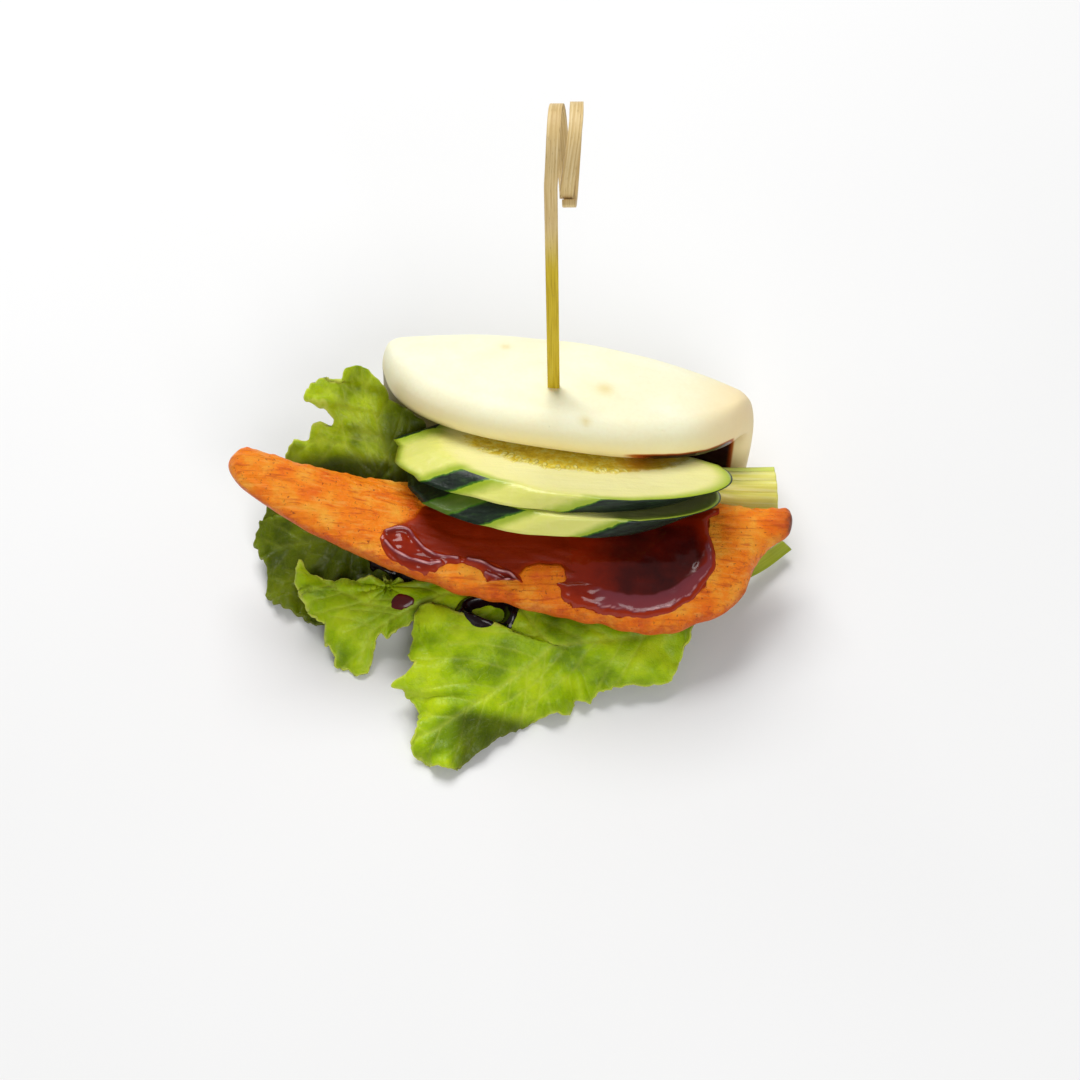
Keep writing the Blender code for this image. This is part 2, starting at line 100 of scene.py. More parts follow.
# The watery core with the seeds, in the slice's own plane: its middle and half sizes.
CORE_MIDDLE = Vector((0, 14, 0))
CORE_HALF = (34, 17.5)
FACE_RINGS, WALL_RINGS = 26, 6  # rings of points on each face and down the wall
SLICE_RINGS = 2 * FACE_RINGS + WALL_RINGS
SLICE_MARKS = ("peel", "rim", "down", "core", "slice_x", "lower_slice_shade")
FACE_WAVE, FACE_WAVE_LENGTH = 0.16, 6  # the unevenness of the cut faces
FACE_DROP, FACE_DROP_WIDTH = 0.3, 0.35  # how a cut face drops towards its rim
CORE_DIP, CORE_BORDER = 0.35, 0.15  # how deep the core is sunk, and how far in its slope goes
SEED_COUNT = 46
SEED_ANGLES = (200, 296)  # where round the core they lie, in degrees
SEED_REACH = (0.8, 0.99)  # and how far out, where the core's border is 1
SEED_RINGS, SEED_AROUND = 7, 10
SEED_HALF_LENGTH, SEED_HALF_WIDTH, SEED_HALF_HEIGHT = (1.1, 1.5), (0.5, 0.65), 0.42
SEED_TURN = 0.3  # how far a seed may be turned out of line, in radians
SEED_GAPS = 0.15  # the share of seeds that are missing
SEED_CLEARANCE = 1.5  # how far they stay inside the slice
SEED_SUNK = 0.25

# The meat: x, front y and z, back y and z, arch, thickness.
MEAT_STATIONS = (
    (-90, 11.5, 43.5, 19, 46, 0.3, 7),
    (-84, 7.5, 42, 20, 45.5, 0.6, 9),
    (-70, -0.5, 37.5, 17.5, 40.5, 1.5, 9.5),
    (-45, -9.5, 30, 18, 30.5, 1.5, 10),
    (-23, -15.5, 24.5, 20.5, 22.5, 4.5, 10),
    (5, -20.5, 20, 21.5, 17.5, 8.5, 10),
    (31, -25.5, 18.5, 21, 17.5, 8, 9.5),
    (45, -22.5, 18.5, 17, 21.5, 5.5, 9),
    (54, -17.5, 18.5, 14, 24.5, 3.6, 8.5),
    (59, -12, 19, 12.5, 25.5, 2.8, 8),
    (62, -4.5, 20.5, 11.5, 26, 2.2, 8),
    (67.5, 2.5, 22.5, 11, 26.5, 1.6, 7.5),
    (73.5, 5, 24.5, 11.5, 27, 1, 7),
)
MEAT_LEFT, MEAT_RIGHT = MEAT_STATIONS[0][0], MEAT_STATIONS[-1][0]
LEFT_END, RIGHT_END = 5, 2.5
EDGE_WANDER, EDGE_LENGTH = 0.07, 7
GRAIN_HEIGHT, GRAIN_LENGTH, GRAIN_WIDTH = 0.5, 16, 2.6
FIBRE_HEIGHT, FIBRE_LENGTH, FIBRE_WIDTH = 0.3, 11, 1.5
FIBRE_SLANT = 0.28
CRUMB_SIZE, CRUMB_HEIGHT, EDGE_CRUMB_HEIGHT = 1.8, 0.12, 0.6
MEAT_ROUNDNESS = (0.75, 0.6)  # of its section, across and up: 1 is a plain oval and less is squarer
MEAT_MARKS = ("meat_x", "across", "lift", "film")
# The front border of the sauce's film, as y by x. At the left it ends where y is 0 at FILM_LEFT, on a slant.
FILM_FRONT = (
    (-50, 2), (-45, -2), (-40, -6), (-33, -8.5), (-20, -9.6), (-14, -12.5), (-7, -14),
    (-4, -11.2), (6, -11), (7.5, -16), (14, -20), (47, -16), (49.5, 12),
)
FILM_LEFT, FILM_SLANT = -44, 0.9
FILM_WANDERS = ((1.2, 5), (2.5, 6))  # how far its front and its left border wander, and in what waves
SAUCE_WAVES = 2.6  # the size of the waves in its border
SAUCE_SKIN = 0.4  # the thickness of its surface
SAUCE_SUNK = 0.75  # it is cut off where it would lie deeper than this in what carries it

# The lettuce.
LEAF_THICKNESS = 0.7
LOWEST_LEAF = 0.6
FRILL_START = 0.1  # how far along a leaf its frills begin
TOOTH_SHARE = 0.5  # how far the frills reach outwards, to how far they wave up and down
FINE_FRILLS, FINE_SHARE = 2.3, 0.6  # the finer teeth, to the main ones: how many, and how deep
WAVES = 1.4  # the rim's waves up and down, to its teeth
BLISTER_SIZE, BLISTER_SHARE = 11, 0.6  # the leaf's blisters: their size, and their height to a frill's
FRILL_WANDER = 2  # the unevenness of the frills, in radians
RAGGED_DEPTH, RAGGED_SIZE = 1.1, 1.7  # the rim's smallest teeth
RIPPLE_HEIGHT, RIPPLE_SIZE = 2.2, 3.5  # and its smallest ripples
VEIN_WIDTHS = (0.8, 0.45, 0.35)  # of ribs, side veins and branches
RIB_DEPTH, SIDE_VEIN_DEPTH = 0.25, 0.16
PILLOW_HEIGHT, FOLD_HEIGHT = 0.3, 0.9  # how far a leaf swells between its veins, and is creased
VEIN_STEPS, VEIN_CURVE = 12, 0.03  # the steps of a side vein, and its turn at each in radians
BRANCH_STEPS, BRANCH_SHARE = 5, 1 / 16  # a branch's steps, and each one's share of a side vein's length
# The two long edges of each leaf: how far along, then x, y and z.
FRONT_LEAF = (
    (
        (0, 8, -6, 15.5), (0.12, -7.5, -12, 15), (0.2, -12, -21.5, 13),
        (0.3, -33.5, -13.8, 16), (0.42, -39, -25, 9.5), (0.5, -38, -32, 8),
        (0.56, -42.5, -37, 7), (0.62, -36.5, -39, 6), (0.8, -36.5, -50.5, 4),
        (0.92, -37, -56, 2.5), (1, -32, -59, 1.5),
    ),
    (
        (0, 40, -5, 15.5), (0.07, 44, -19, 12.5), (0.13, 41.5, -26.5, 9),
        (0.2, 35.5, -34, 6), (0.3, 20, -36.5, 4.5), (0.56, 5.5, -42, 3), (0.7, -3, -45.5, 2),
        (0.85, -13.5, -52.5, 1.5), (1, -24.5, -60.5, 1.2),
    ),
)
FRONT_LEFT_LEAF = (
    (
        (0, 0, -3, 11), (0.3, -31, -5, 14), (0.6, -53, -4, 14),
        (0.85, -64.5, -3.5, 14), (0.94, -69, -1.5, 16.5), (1, -71, 0.5, 19),
    ),
    (
        (0, 4, -16, 9.5), (0.15, -14, -20, 10), (0.28, -31.5, -16, 11),
        (0.4, -43, -19, 9), (0.5, -49, -22, 5), (0.57, -51, -28.5, 1.5),
        (0.64, -56, -28, 1.5), (0.76, -63, -21.5, 3), (0.84, -63.5, -16, 5.5),
        (0.92, -68, -12.5, 8.5), (1, -73.5, -4.5, 12),
    ),
)
LEFT_LEAF = (
    (
        (0, -57.5, 47, 48), (0.08, -60, 44, 46), (0.14, -66, 44.5, 46),
        (0.2, -69.5, 39, 44), (0.27, -63.5, 38.5, 40.5), (0.33, -61.5, 35.5, 37),
        (0.38, -67.5, 35.5, 35), (0.45, -73.5, 32, 31), (0.6, -81, 24, 16),
        (0.75, -86, 11.5, 8), (0.85, -84, 6, 5), (1, -79.5, -6, 1.5),
    ),
    (
        (0, -51, 47, 48), (0.08, -47, 44.5, 43), (0.14, -44, 43, 39),
        (0.2, -39, 41, 35.5), (0.27, -34.5, 38, 32.5), (0.34, -38, 33.5, 29.5),
        (0.45, -39.5, 28.5, 27.5), (0.6, -40, 20, 21), (0.8, -34, 5, 9),
        (0.9, -38, -4, 5.5), (1, -64, -15, 1.5),
    ),
)
# The leaves' ribs, as x and y in the layout.
FRONT_RIBS = (
    ((34, -21.5), (30, -23), (17, -25.3), (3.4, -26.6), (-10.8, -36.7), (-22, -44.8), (-31.6, -50.3),
     (-36, -52)),
    ((3.4, -26.6), (-2, -20.4), (-6, -15)),
)
FRONT_LEFT_RIBS = (
    ((0, -7), (-14, -9.5), (-28.3, -9.2), (-41, -14.4), (-50, -18.5), (-53, -26)),
    ((-41, -13.5), (-52, -11), (-62, -6), (-70, -1)),
)
LEFT_RIBS = (
    ((-44, 10), (-44, 22), (-45.9, 29.4), (-48.8, 36.2), (-52, 44)),
    ((-45.9, 29.4), (-54.6, 36.9), (-63, 42)),
    ((-44, 22), (-58, 31), (-70, 33)),
    ((-44, 12), (-60, 12), (-80, 10)),
    ((-46, 4), (-62, -2), (-76, -6)),
)
# The stem and the sprig: how far along, then x, y and z of the one edge and of the other.
STEM_THICKNESS = 2.4
STEM = (
    (0, 40, 27.5, 24.5, 40, 20, 21.5), (0.5, 55.5, 27, 24.5, 55.5, 16.5, 19.5),
    (1, 69.5, 29, 22, 70.5, 17.5, 16),
)
SPRIG_THICKNESS = 1
SPRIG = (
    (0, 42, -8, 12, 44.5, -11, 11.5), (0.6, 62, 5.5, 6.5, 65, 3, 5.5),
    (1, 73, 15, 4, 75.5, 12.5, 3.5),
)

# The pick.
PICK_FOOT = Vector((4.2, 37.3, 7))
PICK_LEAN = math.radians(-0.8)
PICK_WIDTH = 3.5
PICK_THICKNESS = 1.6
PICK_POINT, PICK_TIP = 9, 0.25  # how long its point is, and how wide the tip is to the rest
COIL_CENTRE_Z = 140
COIL_DEPTH = 10.5
COIL_HEIGHT = 12
COIL_SHARE = 0.86
# The coil: turns, how far to the right, and how far outside its round.
COIL = (
    (0, 0, 0), (0.25, 1.1, 1.2), (0.5, 2.6, 0.4), (0.75, 3.8, -0.7), (1, 4.3, -0.3),
    (1.25, 6.6, 0.2), (1.5, 6.7, 2.3), (1.75, 5.4, 1.4), (1.93, 4.6, 1.8),
)

# A soft room, a big lamp high up behind on the left and a weaker one in front.
ROOM_LIGHT = 0.24
LAMPS = (
    ("key", (-0.24, 0.8, 1.22), 0.85, 17.8),
    ("fill", (0.25, -1.1, 0.95), 0.7, 8.5),
)  # each one's place and size in metres, and its power in watts
LAMP_AIM = Vector((0, 0, 0.03))
FLOOR_HALF = 3


# Small tools for shapes.


def through(stations, key):
    """The values at a key, on a smooth curve through stations that each start with their own key."""
    return between(stations, min(max(key, stations[0][0]), stations[-1][0]))


@functools.lru_cache(maxsize=4096)
def between(stations, key):
    keys = [row[0] for row in stations]
    i = 0
    while i < len(keys) - 2 and key > keys[i + 1]:
        i += 1
    span = keys[i + 1] - keys[i]
    t = (key - keys[i]) / span

    def slope(column, j):
        low, high = max(j - 1, 0), min(j + 1, len(keys) - 1)
        return (stations[high][column] - stations[low][column]) / (keys[high] - keys[low])

    return [
        (2 * t**3 - 3 * t**2 + 1) * stations[i][column]
        + (t**3 - 2 * t**2 + t) * span * slope(column, i)
        + (3 * t**2 - 2 * t**3) * stations[i + 1][column]
        + (t**3 - t**2) * span * slope(column, i + 1)
        for column in range(1, len(stations[0]))
    ]


def smooth_step(value, low, high):
    t = min(max((value - low) / (high - low), 0), 1)
    return t * t * (3 - 2 * t)


def smooth_steps(values, low, high):
    """The same for an array."""
    t = np.clip((values - low) / (high - low), 0, 1)
    return t * t * (3 - 2 * t)


def signed_power(value, power):
    return math.copysign(abs(value) ** power, value)


def rounded_end(depth, reach):
    if depth >= reach:
        return 1
    return math.sqrt(max(1 - ((reach - depth) / reach) ** 2, 0))


def bell(distance, width):
    """1 where the distance is 0, falling softly to 0 beside it."""
    return np.exp(-((distance / width) ** 2))


def lump(x, y, z):
    """Smooth noise from -1 to 1 at a place."""
    return noise.noise(Vector((x, y, z)))


def lumps(x, y, size, seed):
    """The same over a plane, with lumps of this size."""
    return lump(x / size, y / size, seed)


def noises(points, x_size, y_size, seed):
    """The same at each 2-D point, with lumps of these sizes in x and y."""
    return np.array([lump(x / x_size, y / y_size, seed) for x, y in points])


def distance_to_path(points, path):
    """How far each 2-D point is from a line through the path's points."""
    nearest = np.full(len(points), 1e9)
    for start, end in zip(path[:-1], path[1:]):
        run = end - start
        along = np.clip(((points - start) @ run) / max(run @ run, 1e-9), 0, 1)
        nearest = np.minimum(nearest, np.linalg.norm(points - start - along[:, None] * run, axis=1))
    return nearest


def distance_to_paths(points, paths):
    return np.min([distance_to_path(points, path) for path in paths], axis=0)


def lattice(along, across, shape):
    """The points of a grid, as an array of rows; shape(t, s) gives each one."""
    rows = [[shape(i / along, j / across) for j in range(across + 1)] for i in range(along + 1)]
    return np.array(rows, float)


def surface_normals(points):
    """The upward normals of a grid of points."""
    across = np.cross(np.gradient(points, axis=0), np.gradient(points, axis=1))
    across /= np.maximum(np.linalg.norm(across, axis=2, keepdims=True), 1e-9)
    return across * np.sign(across[..., 2].mean())


def add_object(name, data):
    made = bpy.data.objects.new(name, data)
    bpy.context.scene.collection.objects.link(made)
    return made


def new_mesh_object(name, vertices, faces, attributes, finish):
    """A smooth mesh from points in the layout's millimetres. Each attribute is one number a point."""
    placed = (np.asarray(vertices, float) + np.array(PLACE)) * MM
    mesh = bpy.data.meshes.new(name)
    mesh.from_pydata(placed.tolist(), [], faces)
    for key, values in attributes.items():
        layer = mesh.attributes.new(key, "FLOAT", "POINT")
        layer.data.foreach_set("value", np.asarray(values, np.float32).ravel())
    mesh.shade_smooth()
    mesh.materials.append(finish)
    return add_object(name, mesh)


def grid_faces(rows, columns, wrap=False):
    """The four-sided faces between the points of a grid, which may close round into a tube."""
    return [
        (row + j, row + columns + j, row + columns + (j + 1) % columns, row + (j + 1) % columns)
        for row in range(0, (rows - 1) * columns, columns)
        for j in range(columns if wrap else columns - 1)
    ]


def tube_faces(first, rings, around):
    """The faces of a tube whose points start at this number, turned the other way."""
    faces = grid_faces(rings, around, wrap=True)
    return [(first + a, first + d, first + c, first + b) for a, b, c, d in faces]


def thicken(piece, thickness, offset):
    """Makes a surface a thin solid, to both sides of it at offset 0 and below it at offset -1."""
    shell = piece.modifiers.new("Thickness", "SOLIDIFY")
    shell.thickness = thickness * MM
    shell.offset = offset


def sheet(name, points, attributes, finish, thickness):
    """A thin solid round a grid of points."""
    faces = grid_faces(*points.shape[:2])
    made = new_mesh_object(name, points.reshape(-1, 3), faces, attributes, finish)
    thicken(made, thickness, 0)
    return made


def blob(name, rings, around, shape, finish, keys):
    """A closed form from pole to pole. shape(along, turn) gives a point and its attributes' values."""
    places = [(0, 0), *((i / rings, j / around) for i in range(1, rings) for j in range(around)), (1, 0)]
    vertices, values = zip(*[shape(along, turn) for along, turn in places])
    last = len(vertices) - 1
    row = last - around
    faces = [(0, 1 + (j + 1) % around, 1 + j) for j in range(around)]
    faces += tube_faces(1, rings - 1, around)
    faces += [(row + j, row + (j + 1) % around, last) for j in range(around)]
    if inside_out(vertices, faces):
        faces = [tuple(reversed(face)) for face in faces]
    attributes = dict(zip(keys, np.array(values, float).T))
    return new_mesh_object(name, vertices, faces, attributes, finish)


def inside_out(vertices, faces):
    points = np.array(vertices, float)
    volume = 0
    for face in faces:
        for k in range(1, len(face) - 1):
            volume += points[face[0]] @ np.cross(points[face[k]], points[face[k + 1]])
    return volume < 0


def dress(piece, slot, *nodes):
    """Every piece moves with the one body and may stand for solids; the slot is not used."""
    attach(piece, "root")
    if nodes:
        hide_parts(*nodes)
    return piece


# Small tools for materials.


def srgb(red, green, blue):
    """A colour as a screen shows it, from 0 to 255, as linear light."""
    parts = [c / 255 for c in (red, green, blue)]
    return (*[c / 12.92 if c <= 0.04045 else ((c + 0.055) / 1.055) ** 2.4 for c in parts], 1)


class Finish:
    """A material, with short calls for the shader nodes that it uses."""

    def __init__(self, name):
        self.material = bpy.data.materials.new(name)
        self.material.use_nodes = True
        self.nodes = self.material.node_tree.nodes
        self.links = self.material.node_tree.links
        self.shader = self.nodes["Principled BSDF"]

    def add(self, kind, inputs=None, **settings):
        made = self.nodes.new(kind)
        for key, value in settings.items():
            setattr(made, key, value)
        for key, value in (inputs or {}).items():
            self.feed(made.inputs[key], value)
        return made

    def feed(self, socket, value):
        if isinstance(value, bpy.types.NodeSocket):
            self.links.new(value, socket)
        else:
            socket.default_value = value

    def set(self, **values):
        """Sets inputs of the main shader, each to a value or a socket."""
        for key, value in values.items():
            self.feed(self.shader.inputs[key.replace("_", " ").title().replace("Ior", "IOR")], value)

    def soak(self, share, colours, depth):
        """Lets light in: how much of it, how far by colour, and how deep in millimetres."""
        self.set(subsurface_weight=share, subsurface_radius=colours, subsurface_scale=depth * MM)

    def attribute(self, name):
        return self.add("ShaderNodeAttribute", attribute_name=name).outputs["Fac"]

    def place(self, stretch=(1, 1, 1), turn=(0, 0, 0)):
        """Where a point is, in millimetres, stretched and turned."""
        where = self.add("ShaderNodeTexCoord").outputs["Object"]
        inputs = {"Vector": where, "Scale": [1000 * k for k in stretch], "Rotation": turn}
        return self.add("ShaderNodeMapping", inputs).outputs["Vector"]

    def combine(self, x, y):
        return self.add("ShaderNodeCombineXYZ", {"X": x, "Y": y}).outputs["Vector"]

    def noise(self, vector, scale, detail=3, roughness=0.55):
        inputs = {"Vector": vector, "Scale": scale, "Detail": detail, "Roughness": roughness}
        return self.add("ShaderNodeTexNoise", inputs).outputs["Fac"]

    def wander(self, size, vector, scale, *detail):
        """Noise that wanders by half this size to each side of 0."""
        return self.math("MULTIPLY_ADD", self.noise(vector, scale, *detail), size, -size / 2)

    def cells(self, vector, scale, feature="DISTANCE_TO_EDGE"):
        inputs = {"Vector": vector, "Scale": scale}
        return self.add("ShaderNodeTexVoronoi", inputs, feature=feature).outputs["Distance"]

    def math(self, operation, first, second=0, third=0):
        made = self.add("ShaderNodeMath", operation=operation)
        for socket, value in zip(made.inputs, (first, second, third)):
            self.feed(socket, value)
        return made.outputs["Value"]

    def plus(self, first, second):
        return self.math("ADD", first, second)

    def times(self, first, second):
        return self.math("MULTIPLY", first, second)

    def span(self, value, low, high, to_low=0, to_high=1, smooth=True):
        """Goes from one number to another while the value goes from low to high."""
        inputs = {"Value": value, "From Min": low, "From Max": high, "To Min": to_low, "To Max": to_high}
        kind = "SMOOTHSTEP" if smooth else "LINEAR"
        return self.add("ShaderNodeMapRange", inputs, interpolation_type=kind).outputs["Result"]

    def ramp(self, value, *stops):
        """A colour by the value, through stops that each say where they are, then red, green and blue."""
        made = self.add("ShaderNodeValToRGB", {"Fac": value})
        elements = made.color_ramp.elements
        while len(elements) < len(stops):
            elements.new(0.5)
        for element, (position, *colour) in zip(elements, stops):
            element.position = position
            element.color = srgb(*colour)
        return made.outputs["Color"]

    def layered(self, colour, *layers):
        """The colour under layers: each has its share, then red, green and blue or a colour's socket."""
        for share, *over in layers:
            made = self.add("ShaderNodeMix", data_type="RGBA")
            values = (share, colour, over[0] if len(over) == 1 else srgb(*over))
            for socket, value in zip((0, 6, 7), values):
                self.feed(made.inputs[socket], value)
            colour = made.outputs[2]
        return colour

    def bump(self, *heights):
        """Bumps from pairs of a height from 0 to 1 and its size in millimetres."""
        normal = None
        for height, size in heights:
            inputs = {"Height": height, "Distance": size * MM, "Strength": 1}
            if normal is not None:
                inputs["Normal"] = normal
            normal = self.add("ShaderNodeBump", inputs).outputs["Normal"]
        self.set(normal=normal)


# The bun.


def dough_point(u, v, w):
    """A point of the bun: u along the fold, v along the dough from the lower flap up, w outwards."""
    turn = math.pi - FLAP_TILT
    half_arc = HINGE_RADIUS * turn / 2
    if v < -half_arc:
        angle, straight = 0, v + half_arc
    elif v > half_arc:
        angle, straight = turn, v - half_arc
    else:
        angle, straight = (v + half_arc) / HINGE_RADIUS, 0
    forward, height = math.cos(angle), math.sin(angle)
    y = HINGE_BACK + (HINGE_RADIUS + w) * height + straight * forward
    z = BUN_HALF_THICKNESS + HINGE_RADIUS - (HINGE_RADIUS + w) * forward + straight * height
    y -= (HINGE_BOW_LEFT if u < 0 else HINGE_BOW_RIGHT) * (u / BUN_HALF_LENGTH) ** 2
    return Vector((u, y, z))


def crown(u, v):
    lengthwise = max(1 - (u / BUN_HALF_LENGTH) ** 2, 0)
    return lengthwise * smooth_step(v, 0, 0.45 * BUN_REACH) * (1 - smooth_step(v, 0.5 * BUN_REACH, BUN_REACH))


def bun_section(side, inset):
    """Round one section of the dough: how far across it is and how far up, both from -1 to 1."""
    outer = side < 0.5
    place = 2 * side if outer else 2 * side - 1
    if place < RIM_SHARE / 2:
        bend = place / RIM_SHARE * math.pi
        across, lift = 1 + (math.cos(bend) - 1) * inset, math.sin(bend)
    elif place > 1 - RIM_SHARE / 2:
        bend = (1 - place) / RIM_SHARE * math.pi
        across, lift = -1 - (math.cos(bend) - 1) * inset, math.sin(bend)
    else:
        t = 1 - 2 * (place - RIM_SHARE / 2) / (1 - RIM_SHARE)
        across, lift = (1 - inset) * (0.6 * t + 0.4 * t**3), 1
    return (across, lift) if outer else (-across, -lift)


def near(point, x, y, size):
    """1 at this place of the layout, falling softly to 0 beside it."""
    return math.exp(-((point.x - x) ** 2 + (point.y - y) ** 2) / size**2)


def dent_depth(point):
    """How deep the dent round the pick and the small pits are."""
    away = ((point.x - PICK_FOOT.x) / DENT_SIZE[0]) ** 2 + ((point.y - PICK_FOOT.y) / DENT_SIZE[1]) ** 2
    return DENT_DEPTH * math.exp(-away) + PIT_DEPTH * sum(near(point, *pit) for pit in PITS)


def bun_shape(along, side):
    """The same loop round each section as the solid's, with the dough's gentle unevenness."""
    polar = math.pi * along
    u = -BUN_HALF_LENGTH * signed_power(math.cos(polar), 2 / BUN_SQUARENESS)
    reach = BUN_REACH * max(math.sin(polar), 0) ** (2 / BUN_SQUARENESS)
    thickness = BUN_HALF_THICKNESS * rounded_end(BUN_HALF_LENGTH - abs(u), BUN_HALF_THICKNESS)
    across, lift = bun_section(side, min(BUN_HALF_THICKNESS, reach) / max(reach, 1e-6))
    v, w = reach * across, thickness * lift
    if lift > 0:
        w += BUN_CROWN * crown(u, v)
        wave = lumps(u, v, DOUGH_WAVE_LENGTH, 3)
        w += DOUGH_WAVE * lift * wave * smooth_step(v, -20, 0)
    point = dough_point(u, v, w)
    point.rotate(Euler((0, 0, BUN_YAW)))
    point += BUN_CENTRE
    smudge = 0
    if side < 0.5 and v > 0:
        point.z -= dent_depth(point)
        smudge = max(near(point, *mark) for mark in SMUDGES)
    return point, (u, smudge, lift)


def dough_finish():
    look = Finish("Steamed dough")
    where = look.place()
    u, smudge, lift = map(look.attribute, DOUGH_MARKS)
    fine = look.noise(where, 0.9, 3, 0.6)
    soaked_u = look.span(look.plus(u, look.wander(6, where, 0.15, 2)), 20, 32)
    soaked_u = look.times(soaked_u, look.span(u, 53, 50.5))
    soaked_lift = look.span(look.math("MULTIPLY_ADD", look.noise(where, 0.15, 1), 0.12, lift), -0.25, -0.5)
    soaked = look.times(soaked_u, soaked_lift)
    cloud = look.noise(where, 0.05, 3)
    stain = look.ramp(soaked, (0, 222, 150, 60), (0.5, 150, 62, 14), (1, 38, 14, 12))
    # The right end and the lower rim are painted a deeper cream than the top, as painted shade.
    # The inside of the fold is painted dark at its left end, also a painted shade, and sauce has
    # soaked it towards its right end.
    colour = look.layered(
        look.ramp(cloud, (0.3, 250, 244, 206), (0.6, 253, 251, 219), (0.8, 254, 253, 228)),
        (look.span(fine, 0.35, 0.75, 0, 0.12), 232, 214, 168),
        (look.span(u, 34, 57, 0, 0.75), 252, 218, 156),
        (look.span(lift, 0.9, -0.4, 0, 0.6), 250, 230, 172),
        (look.times(smudge, 0.6), 226, 204, 120),
        (look.times(look.span(lift, -0.3, -0.8), look.span(u, -24, -34, 0, 0.7)), 104, 96, 48),
        (look.span(soaked, 0.02, 0.3), stain),
    )
    look.set(base_color=colour, roughness=look.span(soaked, 0.3, 0.8, 0.55, 0.18), specular_ior_level=0.35)
    look.soak(0.2, (1, 0.7, 0.4), 4)
    pits = look.span(look.cells(where, 0.16, "F1"), 0, 0.09)
    look.bump((look.noise(where, 0.25, 2), 0.12), (fine, 0.035), (pits, 0.12))
    return look.material


def make_bun():
    dress(blob("bun_dough", 150, 300, bun_shape, dough_finish(), DOUGH_MARKS), "dough", "bun")


# The cucumber.


def slice_frame():
    return Euler((-SLICE_TILT, SLICE_ROLL, SLICE_YAW))


def peeled_depth(degrees, peeled):
    for low, high in peeled:
        if low < degrees < high:
            half = math.radians(high - low) / 2
            turned = math.radians(degrees) - math.radians(low) - half
            return min(PEELER_DEPTH, SLICE_RADIUS * (1 - math.cos(half) / math.cos(turned)))
    return 0


def slice_outline(degrees, half_length, peeled):
    """A point of the slice's edge, in the slice's own plane."""
    turned = math.radians(degrees)
    left = smooth_step(-math.cos(turned), 0, 0.6)
    behind = math.sin(turned) < 0
    power = 1 + left * ((BLUNT_POWER if behind else BEVEL_POWER) - 1)
    size = 1 - peeled_depth(degrees, peeled) / SLICE_RADIUS
    radius = SLICE_RADIUS + (BLUNT_BACK * left if behind else 0)
    x = half_length * size * signed_power(math.cos(turned), power)
    y = -radius * size * signed_power(math.sin(turned), power)
    return Vector((x, y + TIP_BACK * min(math.cos(turned), 0) ** 2, 0))


def inside_peel(degrees, peeled):
    """Degrees from here to the nearest border of a stripe of peel: above 0 inside the stripe."""
    nearest = min(min(abs(degrees - low), abs(degrees - high)) for low, high in peeled)
    return -nearest if any(low < degrees < high for low, high in peeled) else nearest


def core_depth(point):
    """How far inside the watery core a point is: 1 in its middle and 0 at its border."""
    x, y = (point.x - CORE_MIDDLE.x) / CORE_HALF[0], (point.y - CORE_MIDDLE.y) / CORE_HALF[1]
    return 1 - math.hypot(x, y)


def slice_shape(middle, turn_by, half_length, thickness, wedge, peeled, bare, lower_slice_shade):
    """Rings from the middle of the upper face out, down the wall and back in over the lower face."""
    bias = math.asin(SLICE_RADIUS / half_length)

    def shape(level, turn):
        degrees = 360 * turn
        ring = round(level * SLICE_RINGS)
        share = min(min(ring, SLICE_RINGS - ring) / FACE_RINGS, 1) ** 0.75
        down = min(max((ring - FACE_RINGS) / WALL_RINGS, 0), 1)
        rim = (1 - share) * SLICE_RADIUS
        point = slice_outline(degrees, half_length, peeled) * share
        core = core_depth(point)
        if share < 1 or down in (0, 1):
            wave = FACE_WAVE * lumps(point.x, point.y, FACE_WAVE_LENGTH, 5 + down)
            rounded = FACE_DROP * math.exp(-rim / FACE_DROP_WIDTH)
            dip = CORE_DIP * smooth_step(core, 0, CORE_BORDER)
            point.z += (wave - rounded - dip) * (1 if down < 0.5 else -1)
        x = point.x
        depth = (thickness + wedge * x / half_length) * down
        point += Vector((-depth / math.tan(bias), 0, -depth))
        point.rotate(Euler((0, 0, turn_by)))
        point.rotate(slice_frame())
        return middle + point, (inside_peel(degrees, bare), rim, down, core, x, lower_slice_shade)

    return shape


